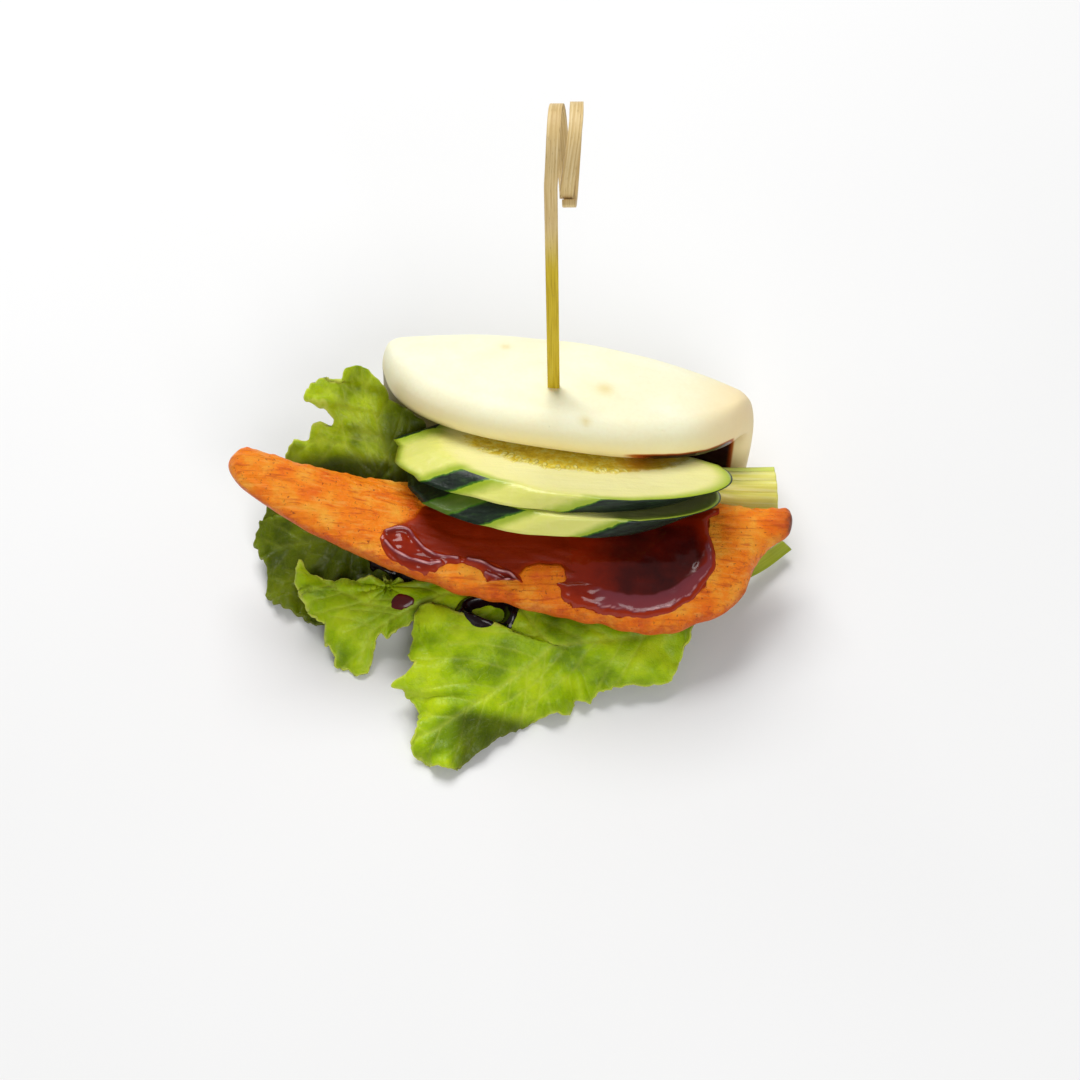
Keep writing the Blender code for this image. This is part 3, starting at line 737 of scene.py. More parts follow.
def cucumber_finish():
    look = Finish("Cucumber")
    where = look.place()
    peel, rim, down, core, x, lower_slice_shade = map(look.attribute, SLICE_MARKS)
    near_peel = look.plus(peel, look.wander(5, where, 0.32, 3))
    # Flesh goes from cream in the middle to bright green under the peel, and is greenest beside a stripe.
    depth = look.span(look.plus(rim, look.wander(2.4, where, 0.35, 3)), 0, 8, smooth=False)
    streak = look.noise(look.place((0.05, 0.9, 0.9), (0, 0, -0.15)), 1, 3)
    fringe = look.times(look.span(near_peel, -11, -1), look.span(rim, 2.6, 0))
    tip = look.times(look.span(x, -20, -32), look.span(down, 0.7, 1))
    # The watery core is olive yellow and glassy. Sauce from the fold has stained it on the right.
    wet_edge = look.math("MULTIPLY_ADD", look.noise(where, 0.22, 4), 0.44, look.math("SUBTRACT", core, 0.2))
    wet = look.span(wet_edge, 0, 0.16)
    core_noise = look.noise(where, 0.4, 4, 0.7)
    core_colour = look.ramp(core_noise, (0.36, 220, 190, 6), (0.5, 248, 220, 26), (0.64, 255, 246, 128))
    stain = look.times(look.span(x, 8, 20), look.span(core, -0.02, 0.3))
    # The lower slice is painted dark green at its left end and where the upper one leaves its face bare,
    # as painted shade under the upper slice.
    face_shade = look.times(look.times(lower_slice_shade, look.span(x, 0, 12)), look.span(rim, 0.3, 0.8, 0, 0.8))
    end_shade = look.times(lower_slice_shade, look.span(x, -20, -28))
    flesh = look.ramp(
        depth,
        (0, 226, 226, 120),
        (0.14, 234, 230, 142),
        (0.35, 238, 233, 160),
        (1, 239, 234, 170),
    )
    flesh = look.layered(
        flesh,
        (look.span(streak, 0.5, 0.8, 0, 0.3), 226, 224, 122),
        (look.times(look.math("MAXIMUM", fringe, tip), 0.9), 152, 178, 14),
        (look.times(wet, 0.85), core_colour),
        (look.times(stain, 0.8), 232, 158, 16),
        (face_shade, 72, 88, 26),
        (look.times(end_shade, 0.85), 52, 92, 18),
    )
    # The peel is nearly black, with a green edge.
    skin_noise = look.noise(look.place((0.12, 0.7, 0.7)), 1, 4, 0.6)
    skin = look.ramp(skin_noise, (0.3, 18, 24, 22), (0.6, 34, 50, 34), (0.85, 60, 92, 36))
    skin = look.layered(skin, (look.span(near_peel, 2.4, 0.2), 70, 118, 16))
    covered = look.times(look.span(rim, 0.28, 0.12), look.span(near_peel, -0.3, 0.4))
    look.set(base_color=look.layered(flesh, (covered, skin)), roughness=look.span(wet, 0, 1, 0.3, 0.12))
    look.set(specular_ior_level=look.span(covered, 0, 1, 0.45, 0.25))
    look.soak(0.25, (0.8, 1, 0.3), 3)
    look.bump((look.noise(where, 0.5, 3), 0.14), (look.noise(where, 4, 2), 0.02), (streak, 0.12))
    return look.material


def seed_finish():
    look = Finish("Cucumber seeds")
    colour = look.ramp(look.noise(look.place(), 0.9, 2), (0.35, 222, 208, 90), (0.7, 248, 240, 160))
    look.set(base_color=colour, roughness=0.15)
    look.soak(0.3, (1, 1, 0.4), 1)
    return look.material


def seed_point(polar, bearing, half, turn, spot):
    """A point of a seed, which is thinner towards one end, in the layout's directions."""
    x, ring = math.cos(polar), math.sin(polar)
    y, z = ring * math.cos(bearing) * (1 - 0.45 * x), ring * math.sin(bearing)
    point = Vector((x * half.x, y * half.y, z * half.z))
    point.rotate(Euler((0, 0, turn)))
    point += spot - Vector((0, 0, SEED_SUNK))
    point.rotate(slice_frame())
    return point


def seeds(name, middle, rng, finish):
    """Seeds lie round the core's border, end on and half sunk."""
    vertices, faces = [], []
    for _ in range(SEED_COUNT):
        angle = math.radians(rng.uniform(*SEED_ANGLES))
        ring = rng.uniform(*SEED_REACH)
        spot = Vector((CORE_HALF[0] * ring * math.cos(angle), CORE_HALF[1] * ring * math.sin(angle), 0))
        turn = math.atan2(spot.y, spot.x * 0.35)
        spot += CORE_MIDDLE
        if abs(spot.y) > SLICE_RADIUS - SEED_CLEARANCE or rng.random() < SEED_GAPS:
            continue
        turn += rng.uniform(-SEED_TURN, SEED_TURN)
        half = Vector((rng.uniform(*SEED_HALF_LENGTH), rng.uniform(*SEED_HALF_WIDTH), SEED_HALF_HEIGHT))
        faces += tube_faces(len(vertices), SEED_RINGS + 1, SEED_AROUND)
        for i in range(SEED_RINGS + 1):
            for j in range(SEED_AROUND):
                polar, bearing = math.pi * i / SEED_RINGS, math.tau * j / SEED_AROUND
                vertices.append(middle + seed_point(polar, bearing, half, turn, spot))
    return new_mesh_object(name, vertices, faces, {}, finish)


def make_cucumber():
    shift = LOWER_SLICE_SHIFT.copy()
    shift.rotate(slice_frame())
    upper = (UPPER_SLICE, 0, UPPER_HALF_LENGTH, UPPER_THICKNESS, 0, PEELED_UPPER, PEELED_UPPER, 0)
    lower = (UPPER_SLICE + shift, LOWER_SLICE_TURN, LOWER_HALF_LENGTH, LOWER_THICKNESS, LOWER_WEDGE)
    # The last value asks for the lower slice's painted shade.
    lower += (PEELED_LOWER, BARE_LOWER, 1)
    finish = cucumber_finish()
    for number, sizes in ((1, upper), (2, lower)):
        shape = slice_shape(*sizes)
        piece = blob(f"cucumber_{number}_flesh", SLICE_RINGS, 360, shape, finish, SLICE_MARKS)
        dress(piece, "cucumber", f"cucumber_{number}")
    dress(seeds("cucumber_1_seeds", UPPER_SLICE, random.Random(8), seed_finish()), "cucumber")


# The meat and its sauce.


def meat_point(x, angle):
    """A point of the meat's surface, how far across it is from -1 at the front to 1, and how far up."""
    front_y, front_z, back_y, back_z, arch, thickness = through(MEAT_STATIONS, x)
    full = rounded_end(x - MEAT_LEFT, LEFT_END) * rounded_end(MEAT_RIGHT - x, RIGHT_END)
    across = signed_power(math.cos(angle), MEAT_ROUNDNESS[0])
    lift = signed_power(math.sin(angle), MEAT_ROUNDNESS[1])
    front, back = Vector((x, front_y, front_z)), Vector((x, back_y, back_z))
    middle = (front + back) / 2
    half = (back - front) / 2
    bend = math.atan2(half.z, half.y) - math.atan(2 * arch * across / half.length)
    up = Vector((0, -math.sin(bend), math.cos(bend)))
    edge = lump(x / EDGE_LENGTH, math.copysign(3, across), 0)
    point = middle + half * across * full * (1 + EDGE_WANDER * edge) + Vector((0, 0, arch * (1 - across**2)))
    point += up * lift * full * thickness / 2
    point += up * meat_relief(x, point, across, lift) * full
    return point, across, lift


def meat_relief(x, point, across, lift):
    """The grain, the fibres that cross it at a slant, and crumbs that are biggest at the edges."""
    grain = GRAIN_HEIGHT * lump(x / GRAIN_LENGTH, point.y / GRAIN_WIDTH, 7)
    slant = point.y + FIBRE_SLANT * x
    fibre = FIBRE_HEIGHT * lump(x / FIBRE_LENGTH, slant / FIBRE_WIDTH, 1)
    edge = smooth_step(abs(across), 0.72, 0.98)
    crumb = lump(x / CRUMB_SIZE, point.y / CRUMB_SIZE, point.z / CRUMB_SIZE)
    return (grain + fibre) * max(lift, 0) + (CRUMB_HEIGHT + EDGE_CRUMB_HEIGHT * edge) * crumb


def meat_shape(along, turn):
    x = (MEAT_LEFT + MEAT_RIGHT) / 2 - (MEAT_RIGHT - MEAT_LEFT) / 2 * math.cos(math.pi * along)
    x = min(max(x, MEAT_LEFT), MEAT_RIGHT)
    point, across, lift = meat_point(x, math.tau * turn)
    return point, (x, across, lift, film_share(point) * smooth_step(lift, 0, 0.5))


def film_share(point):
    """1 where sauce has run over the meat behind the thick parts, 0 on bare meat."""
    if not FILM_FRONT[0][0] < point.x < FILM_FRONT[-1][0]:
        return 0
    (front_wander, front_size), (left_wander, left_size) = FILM_WANDERS
    front = through(FILM_FRONT, point.x)[0] + front_wander * lumps(point.x, point.y, front_size, 9)
    left = FILM_LEFT + FILM_SLANT * point.y + left_wander * lumps(point.x, point.y, left_size, 2)
    right = FILM_FRONT[-1][0]
    share = smooth_step(point.y, front, front + 3) * smooth_step(point.x, left, left + 7)
    return share * smooth_step(point.x, right, right - 1.5)


def meat_finish():
    look = Finish("Roast meat")
    where = look.place()
    x, across, lift, film = map(look.attribute, MEAT_MARKS)
    cloud = look.noise(where, 0.12, 4, 0.6)
    fibres = look.noise(look.place((0.07, 0.9, 0.5), (0, 0, 0.27)), 1, 4, 0.6)
    ragged = look.wander(0.36, where, 0.35, 4, 0.65)
    # A film of sauce has run over it behind the thick sauce, thin and orange at its border.
    uneven = look.wander(0.5, where, 0.2, 4, 0.6)
    covered = look.span(look.plus(film, look.times(uneven, look.span(film, 1, 0.6))), 0.1, 0.6)
    stain = look.ramp(
        look.plus(film, uneven),
        (0.2, 216, 92, 8),
        (0.5, 164, 48, 2),
        (0.8, 150, 38, 0),
        (1, 134, 32, 0),
    )
    # Its fibres are light and dark, it is freckled with brown, and its front edge, its underside and above
    # all its right end are browned.
    colour = look.layered(
        look.ramp(cloud, (0.3, 240, 104, 0), (0.5, 255, 138, 4), (0.72, 255, 178, 54)),
        (look.span(fibres, 0.53, 0.66, 0, 0.6), 200, 74, 8),
        (look.span(fibres, 0.46, 0.32, 0, 0.45), 255, 182, 84),
        (look.span(look.noise(where, 0.9, 3, 0.7), 0.6, 0.7, 0, 0.8), 150, 52, 8),
        (look.span(look.plus(across, ragged), -0.82, -1, 0, 0.7), 196, 72, 8),
        (look.span(look.plus(lift, ragged), 0.1, -0.5, 0, 0.75), 150, 52, 4),
        (look.span(look.math("MULTIPLY_ADD", ragged, 20, x), 66, 72.5, 0, 0.6), 190, 62, 16),
        (look.span(look.math("MULTIPLY_ADD", ragged, 12, x), 71, 73.2, 0, 0.85), 92, 44, 18),
        (covered, stain),
    )
    look.set(base_color=colour, roughness=look.span(look.noise(where, 0.5, 3), 0.3, 0.7, 0.3, 0.48))
    look.set(specular_ior_level=look.span(covered, 0, 1, 0.28, 0.16))
    look.soak(0.12, (1, 0.4, 0.15), 2)
    bare = look.math("SUBTRACT", 1, look.times(covered, 0.8))
    grit = look.times(look.noise(where, 1.1, 5, 0.7), bare)
    look.bump((look.times(fibres, bare), 0.6), (grit, 0.55), (look.noise(where, 3.5, 2), 0.05))
    return look.material


def sauce_finish():
    look = Finish("Dark sauce")
    where = look.place()
    tint, painted_highlight = look.attribute("tint"), look.attribute("painted_highlight")
    colour = look.ramp(
        look.plus(tint, look.wander(0.3, where, 0.16, 3, 0.5)),
        (0, 184, 70, 10),
        (0.35, 160, 42, 4),
        (0.65, 132, 28, 4),
        (0.85, 84, 15, 8),
        (1, 24, 8, 12),
    )
    # Painted reflections and highlights, from dim lilac to pale pink, laid over the sauce's colour.
    highlight_colour = look.ramp(painted_highlight, (0.2, 112, 44, 50), (0.45, 124, 58, 68), (1, 220, 160, 160))
    colour = look.layered(colour, (look.span(painted_highlight, 0.05, 0.5, 0, 0.85), highlight_colour))
    look.set(base_color=colour, roughness=0.16, specular_ior_level=0.34)
    look.bump((look.noise(where, 0.22, 2), 0.2))
    return look.material


def inside_path(points, path):
    """Which of the 2-D points lie inside a closed path, by counting its sides to their right."""
    inside = np.zeros(len(points), bool)
    for (x0, y0), (x1, y1) in zip(path, np.roll(path, -1, axis=0)):
        crosses = (y0 > points[:, 1]) != (y1 > points[:, 1])
        meets = x0 + (points[:, 1] - y0) * (x1 - x0) / ((y1 - y0) or 1e-9)
        inside ^= crosses & (points[:, 0] < meets)
    return inside


def smooth_path(corners, steps=6):
    """A path through its corners, with the corners softened."""
    rows = tuple((float(i), *corner) for i, corner in enumerate(corners))
    return np.array([through(rows, k / steps) for k in range((len(rows) - 1) * steps + 1)])


def depth_inside(points, corners, wander):
    """How far each point is inside a wandering border through these corners, and below 0 outside it."""
    border = smooth_path((*corners, corners[0]))
    distance = distance_to_path(points, border)
    depth = np.where(inside_path(points, border), distance, -distance)
    return depth + wander * noises(points, SAUCE_WAVES, SAUCE_WAVES, 4)


def shoulder(depth, width):
    """A round border: 0 at the edge, 1 further in than its width, and falling below 0 outside."""
    share = np.clip(depth / width, 0, 1)
    return np.where(depth > 0, np.sqrt(1 - (1 - share) ** 2), 3 * depth / width)


def crest(distance, half_width, height):
    share = np.clip(distance / half_width, 0, 1)
    return height * (1 - share**2) ** 2


LEFT_SAUCE = (
    (-45.5, -1.5), (-41.5, 1), (-38, 0.3), (-35.5, -2.2), (-33, -5), (-29.5, -6.6), (-24, -7.4),
    (-18, -8), (-12.5, -9.8), (-7.5, -12), (-5.5, -14), (-8.5, -16.2), (-14, -15),
    (-17.5, -11.6), (-21, -9.9), (-27, -9.8), (-31, -11.8), (-36, -12.2), (-41.5, -10.4),
    (-45, -7.5), (-46.2, -4.5),
)
LEFT_CRESTS = (
    ((-44.5, -2), (-41, -0.6), (-38.2, -1), (-36.3, -3.4), (-33.5, -6.3), (-29.5, -8), (-24, -8.6)),
    ((-44.6, -5.2), (-42, -7.6), (-37.8, -9.3), (-33, -10.2), (-29, -9.9)),
    ((-21, -8.7), (-16.5, -9.8), (-13, -11.6), (-9.5, -12.2), (-7, -14.2)),
    ((-16, -12.4), (-12.5, -13.6), (-9, -14.8)),
)
POOL = (
    (-6, 12), (-6, 0), (-5, -7), (0, -12.5), (5, -15.5), (6, -18.2), (9.5, -20.2),
    (15, -21), (20, -22.4), (28.5, -23.4), (36, -22.2), (42.8, -18.4), (47.5, -13), (50.3, -8),
    (49.8, -3), (48.6, 2), (48.3, 6), (48.3, 12),
)
POOL_RIM = (
    (7.5, -18), (13, -19.4), (18.5, -19.8), (25, -20.7), (31.5, -20.6), (37.6, -18.8), (42.6, -15),
    (46, -10), (47.4, -5), (47, 1), (47.4, 9),
)
RING = (
    (-23, -15.2), (-21.5, -12.6), (-16.5, -10.9), (-11, -11.6), (-8.6, -14.6), (-9.4, -18.4),
    (-13.5, -20), (-18.8, -19.2), (-23, -15.2),
)
DROP = ((-44.3, -11.6), (-41.8, -9.6), (-38, -10.4), (-37.4, -11.9), (-40.2, -13.6), (-43.4, -13.2))
UNDER_MEAT_POOL = (
    (-51.5, 3.4), (-48, 2), (-44.5, 0.4), (-40, -1.6), (-36, -3), (-33, 1), (-38, 6),
    (-50, 8),
)


def crackle(points):
    """The small wrinkles of half set sauce."""
    return noises(points, 3.2, 1.5, 6)


# Each field gives, at 2-D points, the sauce's thickness, its tint from 0 for thin and light to 1 for thick
# and dark, and its painted highlight from 0 to 1, a colour that stands in for reflected light. It ends where
# the thickness falls far below 0.


def left_sauce_field(points):
    """Wrinkled half set sauce with a few glossy crests, painted highlights on them and faintly all over."""
    edge = depth_inside(points, LEFT_SAUCE, 0.5)
    wrinkles = crackle(points)
    from_crest = distance_to_paths(points, [smooth_path(path) for path in LEFT_CRESTS])
    ridges = crest(from_crest, 1.2, 1)
    folds = ridges + 0.45 * smooth_steps(edge, 0, 1.5) * wrinkles
    height = 0.55 * shoulder(edge, 1.3) + np.where(edge > 0, folds, 0)
    tint = 0.3 + 0.3 * smooth_steps(edge, 0.3, 1.8)
    highlight_lines = 1.1 * (0.8 + 0.5 * wrinkles) * bell(from_crest, 0.36)
    return height, tint, np.maximum(0.12 + 0.24 * smooth_steps(ridges, 0.3, 1), highlight_lines)


def pool_field(points):
    """A pool with a raised rim at the front and right, and sunk into the film of sauce at the left."""
    edge = depth_inside(points, POOL, 0.4)
    x, y = points.T
    wrinkles = crackle(points)
    front = smooth_steps(-y, 13.5, 16)
    rim = smooth_steps(-y, 0, 5) * crest(distance_to_path(points, smooth_path(POOL_RIM)), 3, 0.6)
    full = np.where(edge > 0, np.maximum(smooth_steps(x, 6, 22), front), 1)
    height = full * (0.7 * shoulder(edge, 1.6) + np.where(edge > 0, rim, 0))
    height -= 0.4 * smooth_steps(-x, -9, -3) * (1 - front)
    set_corner = smooth_steps(-y, 16, 18.5) * smooth_steps(x, 21, 15)
    height += np.where(edge > 0.4, 0.6 * set_corner * wrinkles, 0)
    dark = smooth_steps(x, 10, 26) * smooth_steps(edge, 1, 6) * smooth_steps(-y, -11, 0)
    tint = 0.4 + 0.16 * smooth_steps(edge, 0, 3) + 0.32 * dark
    # A painted reflection of the room: a dim band inside the rim, with a bright painted line on each side.
    width = 2.2 + 2.6 * smooth_steps(-y, 8, 15)
    lit = smooth_steps(-y, 0, 4) * smooth_steps(x, 11, 18)
    reflection_band = smooth_steps(edge, 0.9, 1.6) * smooth_steps(-edge, -width - 1, -width)
    highlight_lines = (0.75 + 0.5 * wrinkles) * np.maximum(bell(edge - 1.3, 0.3), 0.55 * bell(edge - width, 0.3))
    return height, tint, lit * np.maximum(0.42 * reflection_band, 0.95 * highlight_lines)


def ring_field(points):
    height = crest(distance_to_path(points, smooth_path(RING)), 2.7, 2.6)
    return np.where(height > 0.02, height - 0.25, -1), 1.2, 0


# A drop, with a faint painted highlight all over.
def drop_field(points):
    return 0.5 * shoulder(depth_inside(points, DROP, 0.3), 2.2), 0.86, 0.2


def under_meat_field(points):
    return 0.8 * shoulder(depth_inside(points, UNDER_MEAT_POOL, 0.8), 1.5), 1.2, 0


def height_over(tree, x, y):
    """How high the carrier's surface is at a place of the layout, or not a number beside it."""
    start = (Vector((x, y, 200)) + PLACE) * MM
    hit = tree.ray_cast(start, Vector((0, 0, -1)))[0]
    return math.nan if hit is None else hit.z / MM


def carriers_tree(names):
    """One tree for ray casts out of the finished pieces that sauce lies on."""
    graph = bpy.context.evaluated_depsgraph_get()
    vertices, faces = [], []
    for name in names:
        mesh = bpy.data.objects[name].evaluated_get(graph).to_mesh()
        base = len(vertices)
        vertices += [v.co.copy() for v in mesh.vertices]
        faces += [[base + k for k in face.vertices] for face in mesh.polygons]
    return BVHTree.FromPolygons(vertices, faces)


def blurred(values, passes):
    for _ in range(passes):
        for axis in (0, 1):
            values = (values + np.roll(values, 1, axis) + np.roll(values, -1, axis)) / 3
    return values


def puddle(name, carriers, low, high, field, finish, slot, step=0.4, passes=4):
    """Sauce that lies on finished pieces: their height, smoothed, and the field's thickness on top."""
    tree = carriers_tree(carriers)
    columns, rows = (round((high[k] - low[k]) / step) + 1 for k in (0, 1))
    xs, ys = np.linspace(low[0], high[0], columns), np.linspace(low[1], high[1], rows)
    flat = np.stack(np.meshgrid(xs, ys, indexing="ij"), -1).reshape(-1, 2)
    heights = np.array([height_over(tree, x, y) for x, y in flat])
    missing = np.isnan(heights)
    heights[missing] = heights[~missing].min()
    carried = blurred(heights.reshape(columns, rows), passes).ravel()
    thickness, tint, painted_highlight = np.broadcast_arrays(*field(flat))
    kept = (thickness > -SAUCE_SUNK) & ~missing
    faces = [face for face in grid_faces(columns, rows) if all(kept[k] for k in face)]
    used = sorted({k for face in faces for k in face})
    place = {k: i for i, k in enumerate(used)}
    vertices = np.column_stack((flat, carried + thickness))[used]
    faces = [tuple(place[k] for k in face) for face in faces]
    made = new_mesh_object(name, vertices, faces, {"tint": tint[used], "painted_highlight": painted_highlight[used]}, finish)
    thicken(made, SAUCE_SKIN, -1)
    dress(made, slot)


def make_sauce():
    finish = sauce_finish()
    meat, leaves = ["meat_roast"], ["leaf_front", "leaf_front_left", "leaf_left"]
    puddle("sauce_left", meat, (-48, -14.5), (-3.5, 3), left_sauce_field, finish, "meat", 0.3)
    puddle("sauce_pool", meat, (1, -25.5), (52, 12), pool_field, finish, "meat")
    puddle("sauce_ring", leaves, (-27, -24), (-4, -7), ring_field, finish, "lettuce", 0.3, 30)
    puddle("sauce_drop", leaves, (-46.5, -16), (-35.5, -7.5), drop_field, finish, "lettuce", 0.3, 9)
    puddle("sauce_under_meat", leaves[2:], (-53, -4.5), (-31.5, 9.5), under_meat_field, finish, "lettuce")


def make_meat():
    dress(blob("meat_roast", 330, 200, meat_shape, meat_finish(), MEAT_MARKS), "meat", "meat")


# The lettuce.


def leaf_surface(edges, hub, camber, ruffle, frills, seed):
    """The solid's leaf surface, with finer teeth on its rim."""

    def shape(t, s):
        point = Vector(through(edges[0], t)).lerp(Vector(through(edges[1], t)), s)
        point.z += camber * 4 * s * (1 - s)
        spoke = Vector((point.x - hub[0], point.y - hub[1], 0))
        bearing = math.atan2(spoke.y, spoke.x)
        near_rim = max(abs(2 * s - 1), 2 * t - 1, 0)
        rim = near_rim**3 * smooth_step(t, FRILL_START, 0.5)
        wander = FRILL_WANDER * lump(2 * math.cos(bearing), 2 * math.sin(bearing), seed)
        teeth = math.sin(frills * bearing + seed + wander)
        teeth += FINE_SHARE * math.sin(FINE_FRILLS * frills * bearing + 2 * seed)
        wave = math.sin(WAVES * frills * bearing + 3 * seed + wander)
        blister = lumps(point.x, point.y, BLISTER_SIZE, seed)
        point += spoke.normalized() * rim * ruffle * TOOTH_SHARE * teeth
        point.z += ruffle * (rim * wave + BLISTER_SHARE * blister)
        point.z = max(point.z, LOWEST_LEAF)
        grown = smooth_step(t, 0, FRILL_START)
        ragged = lumps(point.x, point.y, RAGGED_SIZE, seed)
        ripple = lumps(point.x, point.y, RIPPLE_SIZE, seed + 5)
        point += spoke.normalized() * near_rim**10 * grown * RAGGED_DEPTH * ragged
        point.z += near_rim**5 * grown * RIPPLE_HEIGHT * ripple
        return point

    return shape


def side_veins(main, spacing, reach, rng):
    """Veins that leave both sides of a rib by turns and curve towards its tip, and their own branches."""
    side, fine = [], []
    steps = np.diff(main, axis=0)
    lengths = np.linalg.norm(steps, axis=1)
    along, way = 0.6 * spacing, 1
    while along < lengths.sum():
        run, k = along, 0
        while run > lengths[k]:
            run -= lengths[k]
            k += 1
        here = main[k] + steps[k] * run / lengths[k]
        angle = math.atan2(steps[k][1], steps[k][0]) + way * rng.uniform(0.7, 1)
        line = [here]
        for step in range(VEIN_STEPS):
            angle -= way * VEIN_CURVE
            line.append(line[-1] + reach / VEIN_STEPS * np.array((math.cos(angle), math.sin(angle))))
            if step % 3 == 2:
                turn = angle + rng.choice((-1, 1)) * rng.uniform(0.6, 1)
                branch = [line[-1]]
                for _ in range(BRANCH_STEPS):
                    turn += rng.uniform(-0.2, 0.2)
                    heading = np.array((math.cos(turn), math.sin(turn)))
                    branch.append(branch[-1] + reach * BRANCH_SHARE * heading)
                fine.append(np.array(branch))
        side.append(np.array(line))
        way = -way
        along += spacing * rng.uniform(0.35, 0.65)
    return side, fine


def vein_distances(points, ribs, spacing, reach, rng):
    """How far each point is from the ribs, from their side veins and from the branches of those."""
    mains = [np.array(rib, float) for rib in ribs]
    sides, branches = [], []
    for main in mains:
        side, fine = side_veins(main, spacing, reach, rng)
        sides += side
        branches += fine
    return [distance_to_paths(points, paths) for paths in (mains, sides, branches)]


def make_leaf(name, node, edges, form, ribs, spacing, reach, shade, finish, grid):
    """A leaf: form holds what leaf_surface needs past the edges; shade(x, y) gives its painted shade."""
    along, across = grid
    seed = form[-1]
    points = lattice(along, across, leaf_surface(edges, *form))
    flat = points[..., :2].reshape(-1, 2)
    rim = distance_to_paths(flat, [points[:, 0, :2], points[:, -1, :2], points[-1, :, :2]])
    rng = random.Random(int(seed * 10))
    from_veins = vein_distances(flat, ribs, spacing, reach, rng)
    from_rib, from_side, from_branch = from_veins
    rib, side, branch = map(bell, from_veins, VEIN_WIDTHS)
    nearest = np.minimum(from_rib, from_side)
    pillow = smooth_steps(nearest, 0, 4) + 0.35 * smooth_steps(np.minimum(nearest, from_branch), 0, 1.6)
    x, y = flat.T
    folds = noises(np.column_stack((x + y, x - y)), 22, 9, seed + 2)
    swell = PILLOW_HEIGHT * pillow * (0.8 + 1.2 * noises(flat, 7, 7, seed))
    relief = swell + FOLD_HEIGHT * folds - RIB_DEPTH * rib - SIDE_VEIN_DEPTH * side
    points = points + surface_normals(points) * relief.reshape(along + 1, across + 1)[..., None]
    points[..., 2] = np.maximum(points[..., 2], LOWEST_LEAF)
    attributes = {
        "vein": np.clip(rib + 0.75 * side + 0.45 * branch, 0, 1),
        "rim": rim,
        "fold": folds,
        "shade": [shade(*place) for place in flat],
    }
    dress(sheet(name, points, attributes, finish, LEAF_THICKNESS), "lettuce", node)


def leaf_finish(name, light, mid, dark):
    look = Finish(name)
    where = look.place()
    vein, rim, fold, shade = map(look.attribute, ("vein", "rim", "fold", "shade"))
    # Painted light and shade: lighter on the folds' crests, darker in their hollows, over a random tone.
    cloud = look.math("MULTIPLY_ADD", fold, 0.22, look.noise(where, 0.09, 3, 0.55))
    net = look.span(look.cells(where, 0.7), 0.08, 0)
    mottle = look.noise(where, 0.45, 4, 0.65)
    colour = look.layered(
        look.ramp(cloud, (0.33, *dark), (0.48, *mid), (0.64, *light)),
        (look.span(mottle, 0.52, 0.72, 0, 0.2), *dark),
        (look.span(mottle, 0.45, 0.3, 0, 0.2), *light),
        (look.times(net, 0.06), *light),
        (look.times(vein, 0.3), 206, 218, 84),
        (look.span(rim, 2.4, 0, 0, 0.45), 176, 200, 40),
        (look.span(rim, 0.6, 0, 0, 0.6), 212, 216, 96),
        # Painted shade, as much as the leaf's shade function gives.
        (look.times(shade, 0.9), 50, 60, 0),
    )
    look.set(base_color=colour, roughness=look.span(mottle, 0.3, 0.7, 0.28, 0.42), specular_ior_level=0.18)
    look.soak(0.3, (0.8, 1, 0.2), 1.5)
    look.bump((net, -0.05), (mottle, 0.09), (look.noise(where, 2.5, 3), 0.03))
    return look.material


def front_shade(x, y):
    """The near side of the front leaf, past its fold, and its back under the meat get painted shade."""
    fold = 0.9 * smooth_step(x, -28, -21) * smooth_step(-y, 43, 47.5)
    under = smooth_step(y, -24.5, -17) * smooth_step(x, -6, 8)
    return max(fold, 0.75 * under)


# Painted shade along the leaf's back edge, under the meat.
def front_left_shade(x, y):
    return 0.8 * smooth_step(y, -9, -3.5) * smooth_step(x, -50, -36)


def left_shade(x, y):
    """Painted shade where the meat lies over it and at the fold of the bun."""
    under = smooth_step(-y, -31, -27) * (0.75 + 0.25 * smooth_step(x, -78, -62))
    return max(under, smooth_step(x, -52, -44) * 0.8)


def make_lettuce():
    bright = leaf_finish("Lettuce leaf", (184, 208, 20), (152, 184, 0), (114, 144, 0))
    # A darker copy of the leaf's finish for the left leaf, as painted shade.
    deep = leaf_finish("Shaded lettuce leaf", (176, 196, 12), (146, 168, 0), (98, 118, 0))
    make_leaf("leaf_front", "lettuce_front", FRONT_LEAF, ((5, -20), 4, 1.8, 11, 0.6),
              FRONT_RIBS, 7.5, 26, front_shade, bright, (200, 150))
    make_leaf("leaf_front_left", "lettuce_front_left", FRONT_LEFT_LEAF, ((-45, -7), 1.5, 1.5, 9, 1.9),
              FRONT_LEFT_RIBS, 6.5, 14, front_left_shade, bright, (190, 90))
    make_leaf("leaf_left", "lettuce_left", LEFT_LEAF, ((-55, 18), 2, 2, 11, 4.2),
              LEFT_RIBS, 7, 18, left_shade, deep, (200, 110))
    rib = stem_finish("Lettuce rib", (222, 216, 66), (242, 236, 128), (252, 248, 178))
    sprig = stem_finish("Lettuce sprig", (130, 144, 10), (160, 170, 30), (190, 196, 74))
    make_ribbed("stem_rib", "lettuce_stem", STEM, 3, 4, 0.35, STEM_THICKNESS, "rib", rib)
    make_ribbed("sprig_leaf", "lettuce_sprig", SPRIG, 0.6, 1, 0.2, SPRIG_THICKNESS, "lettuce", sprig)


def ribbed_surface(stations, arch, ribs, rib_height):
    def shape(t, s):
        row = through(stations, t)
        point = Vector(row[:3]).lerp(Vector(row[3:]), s)
        point.z += arch * 4 * s * (1 - s) + rib_height * math.cos(math.tau * ribs * s)
        return point

    return shape


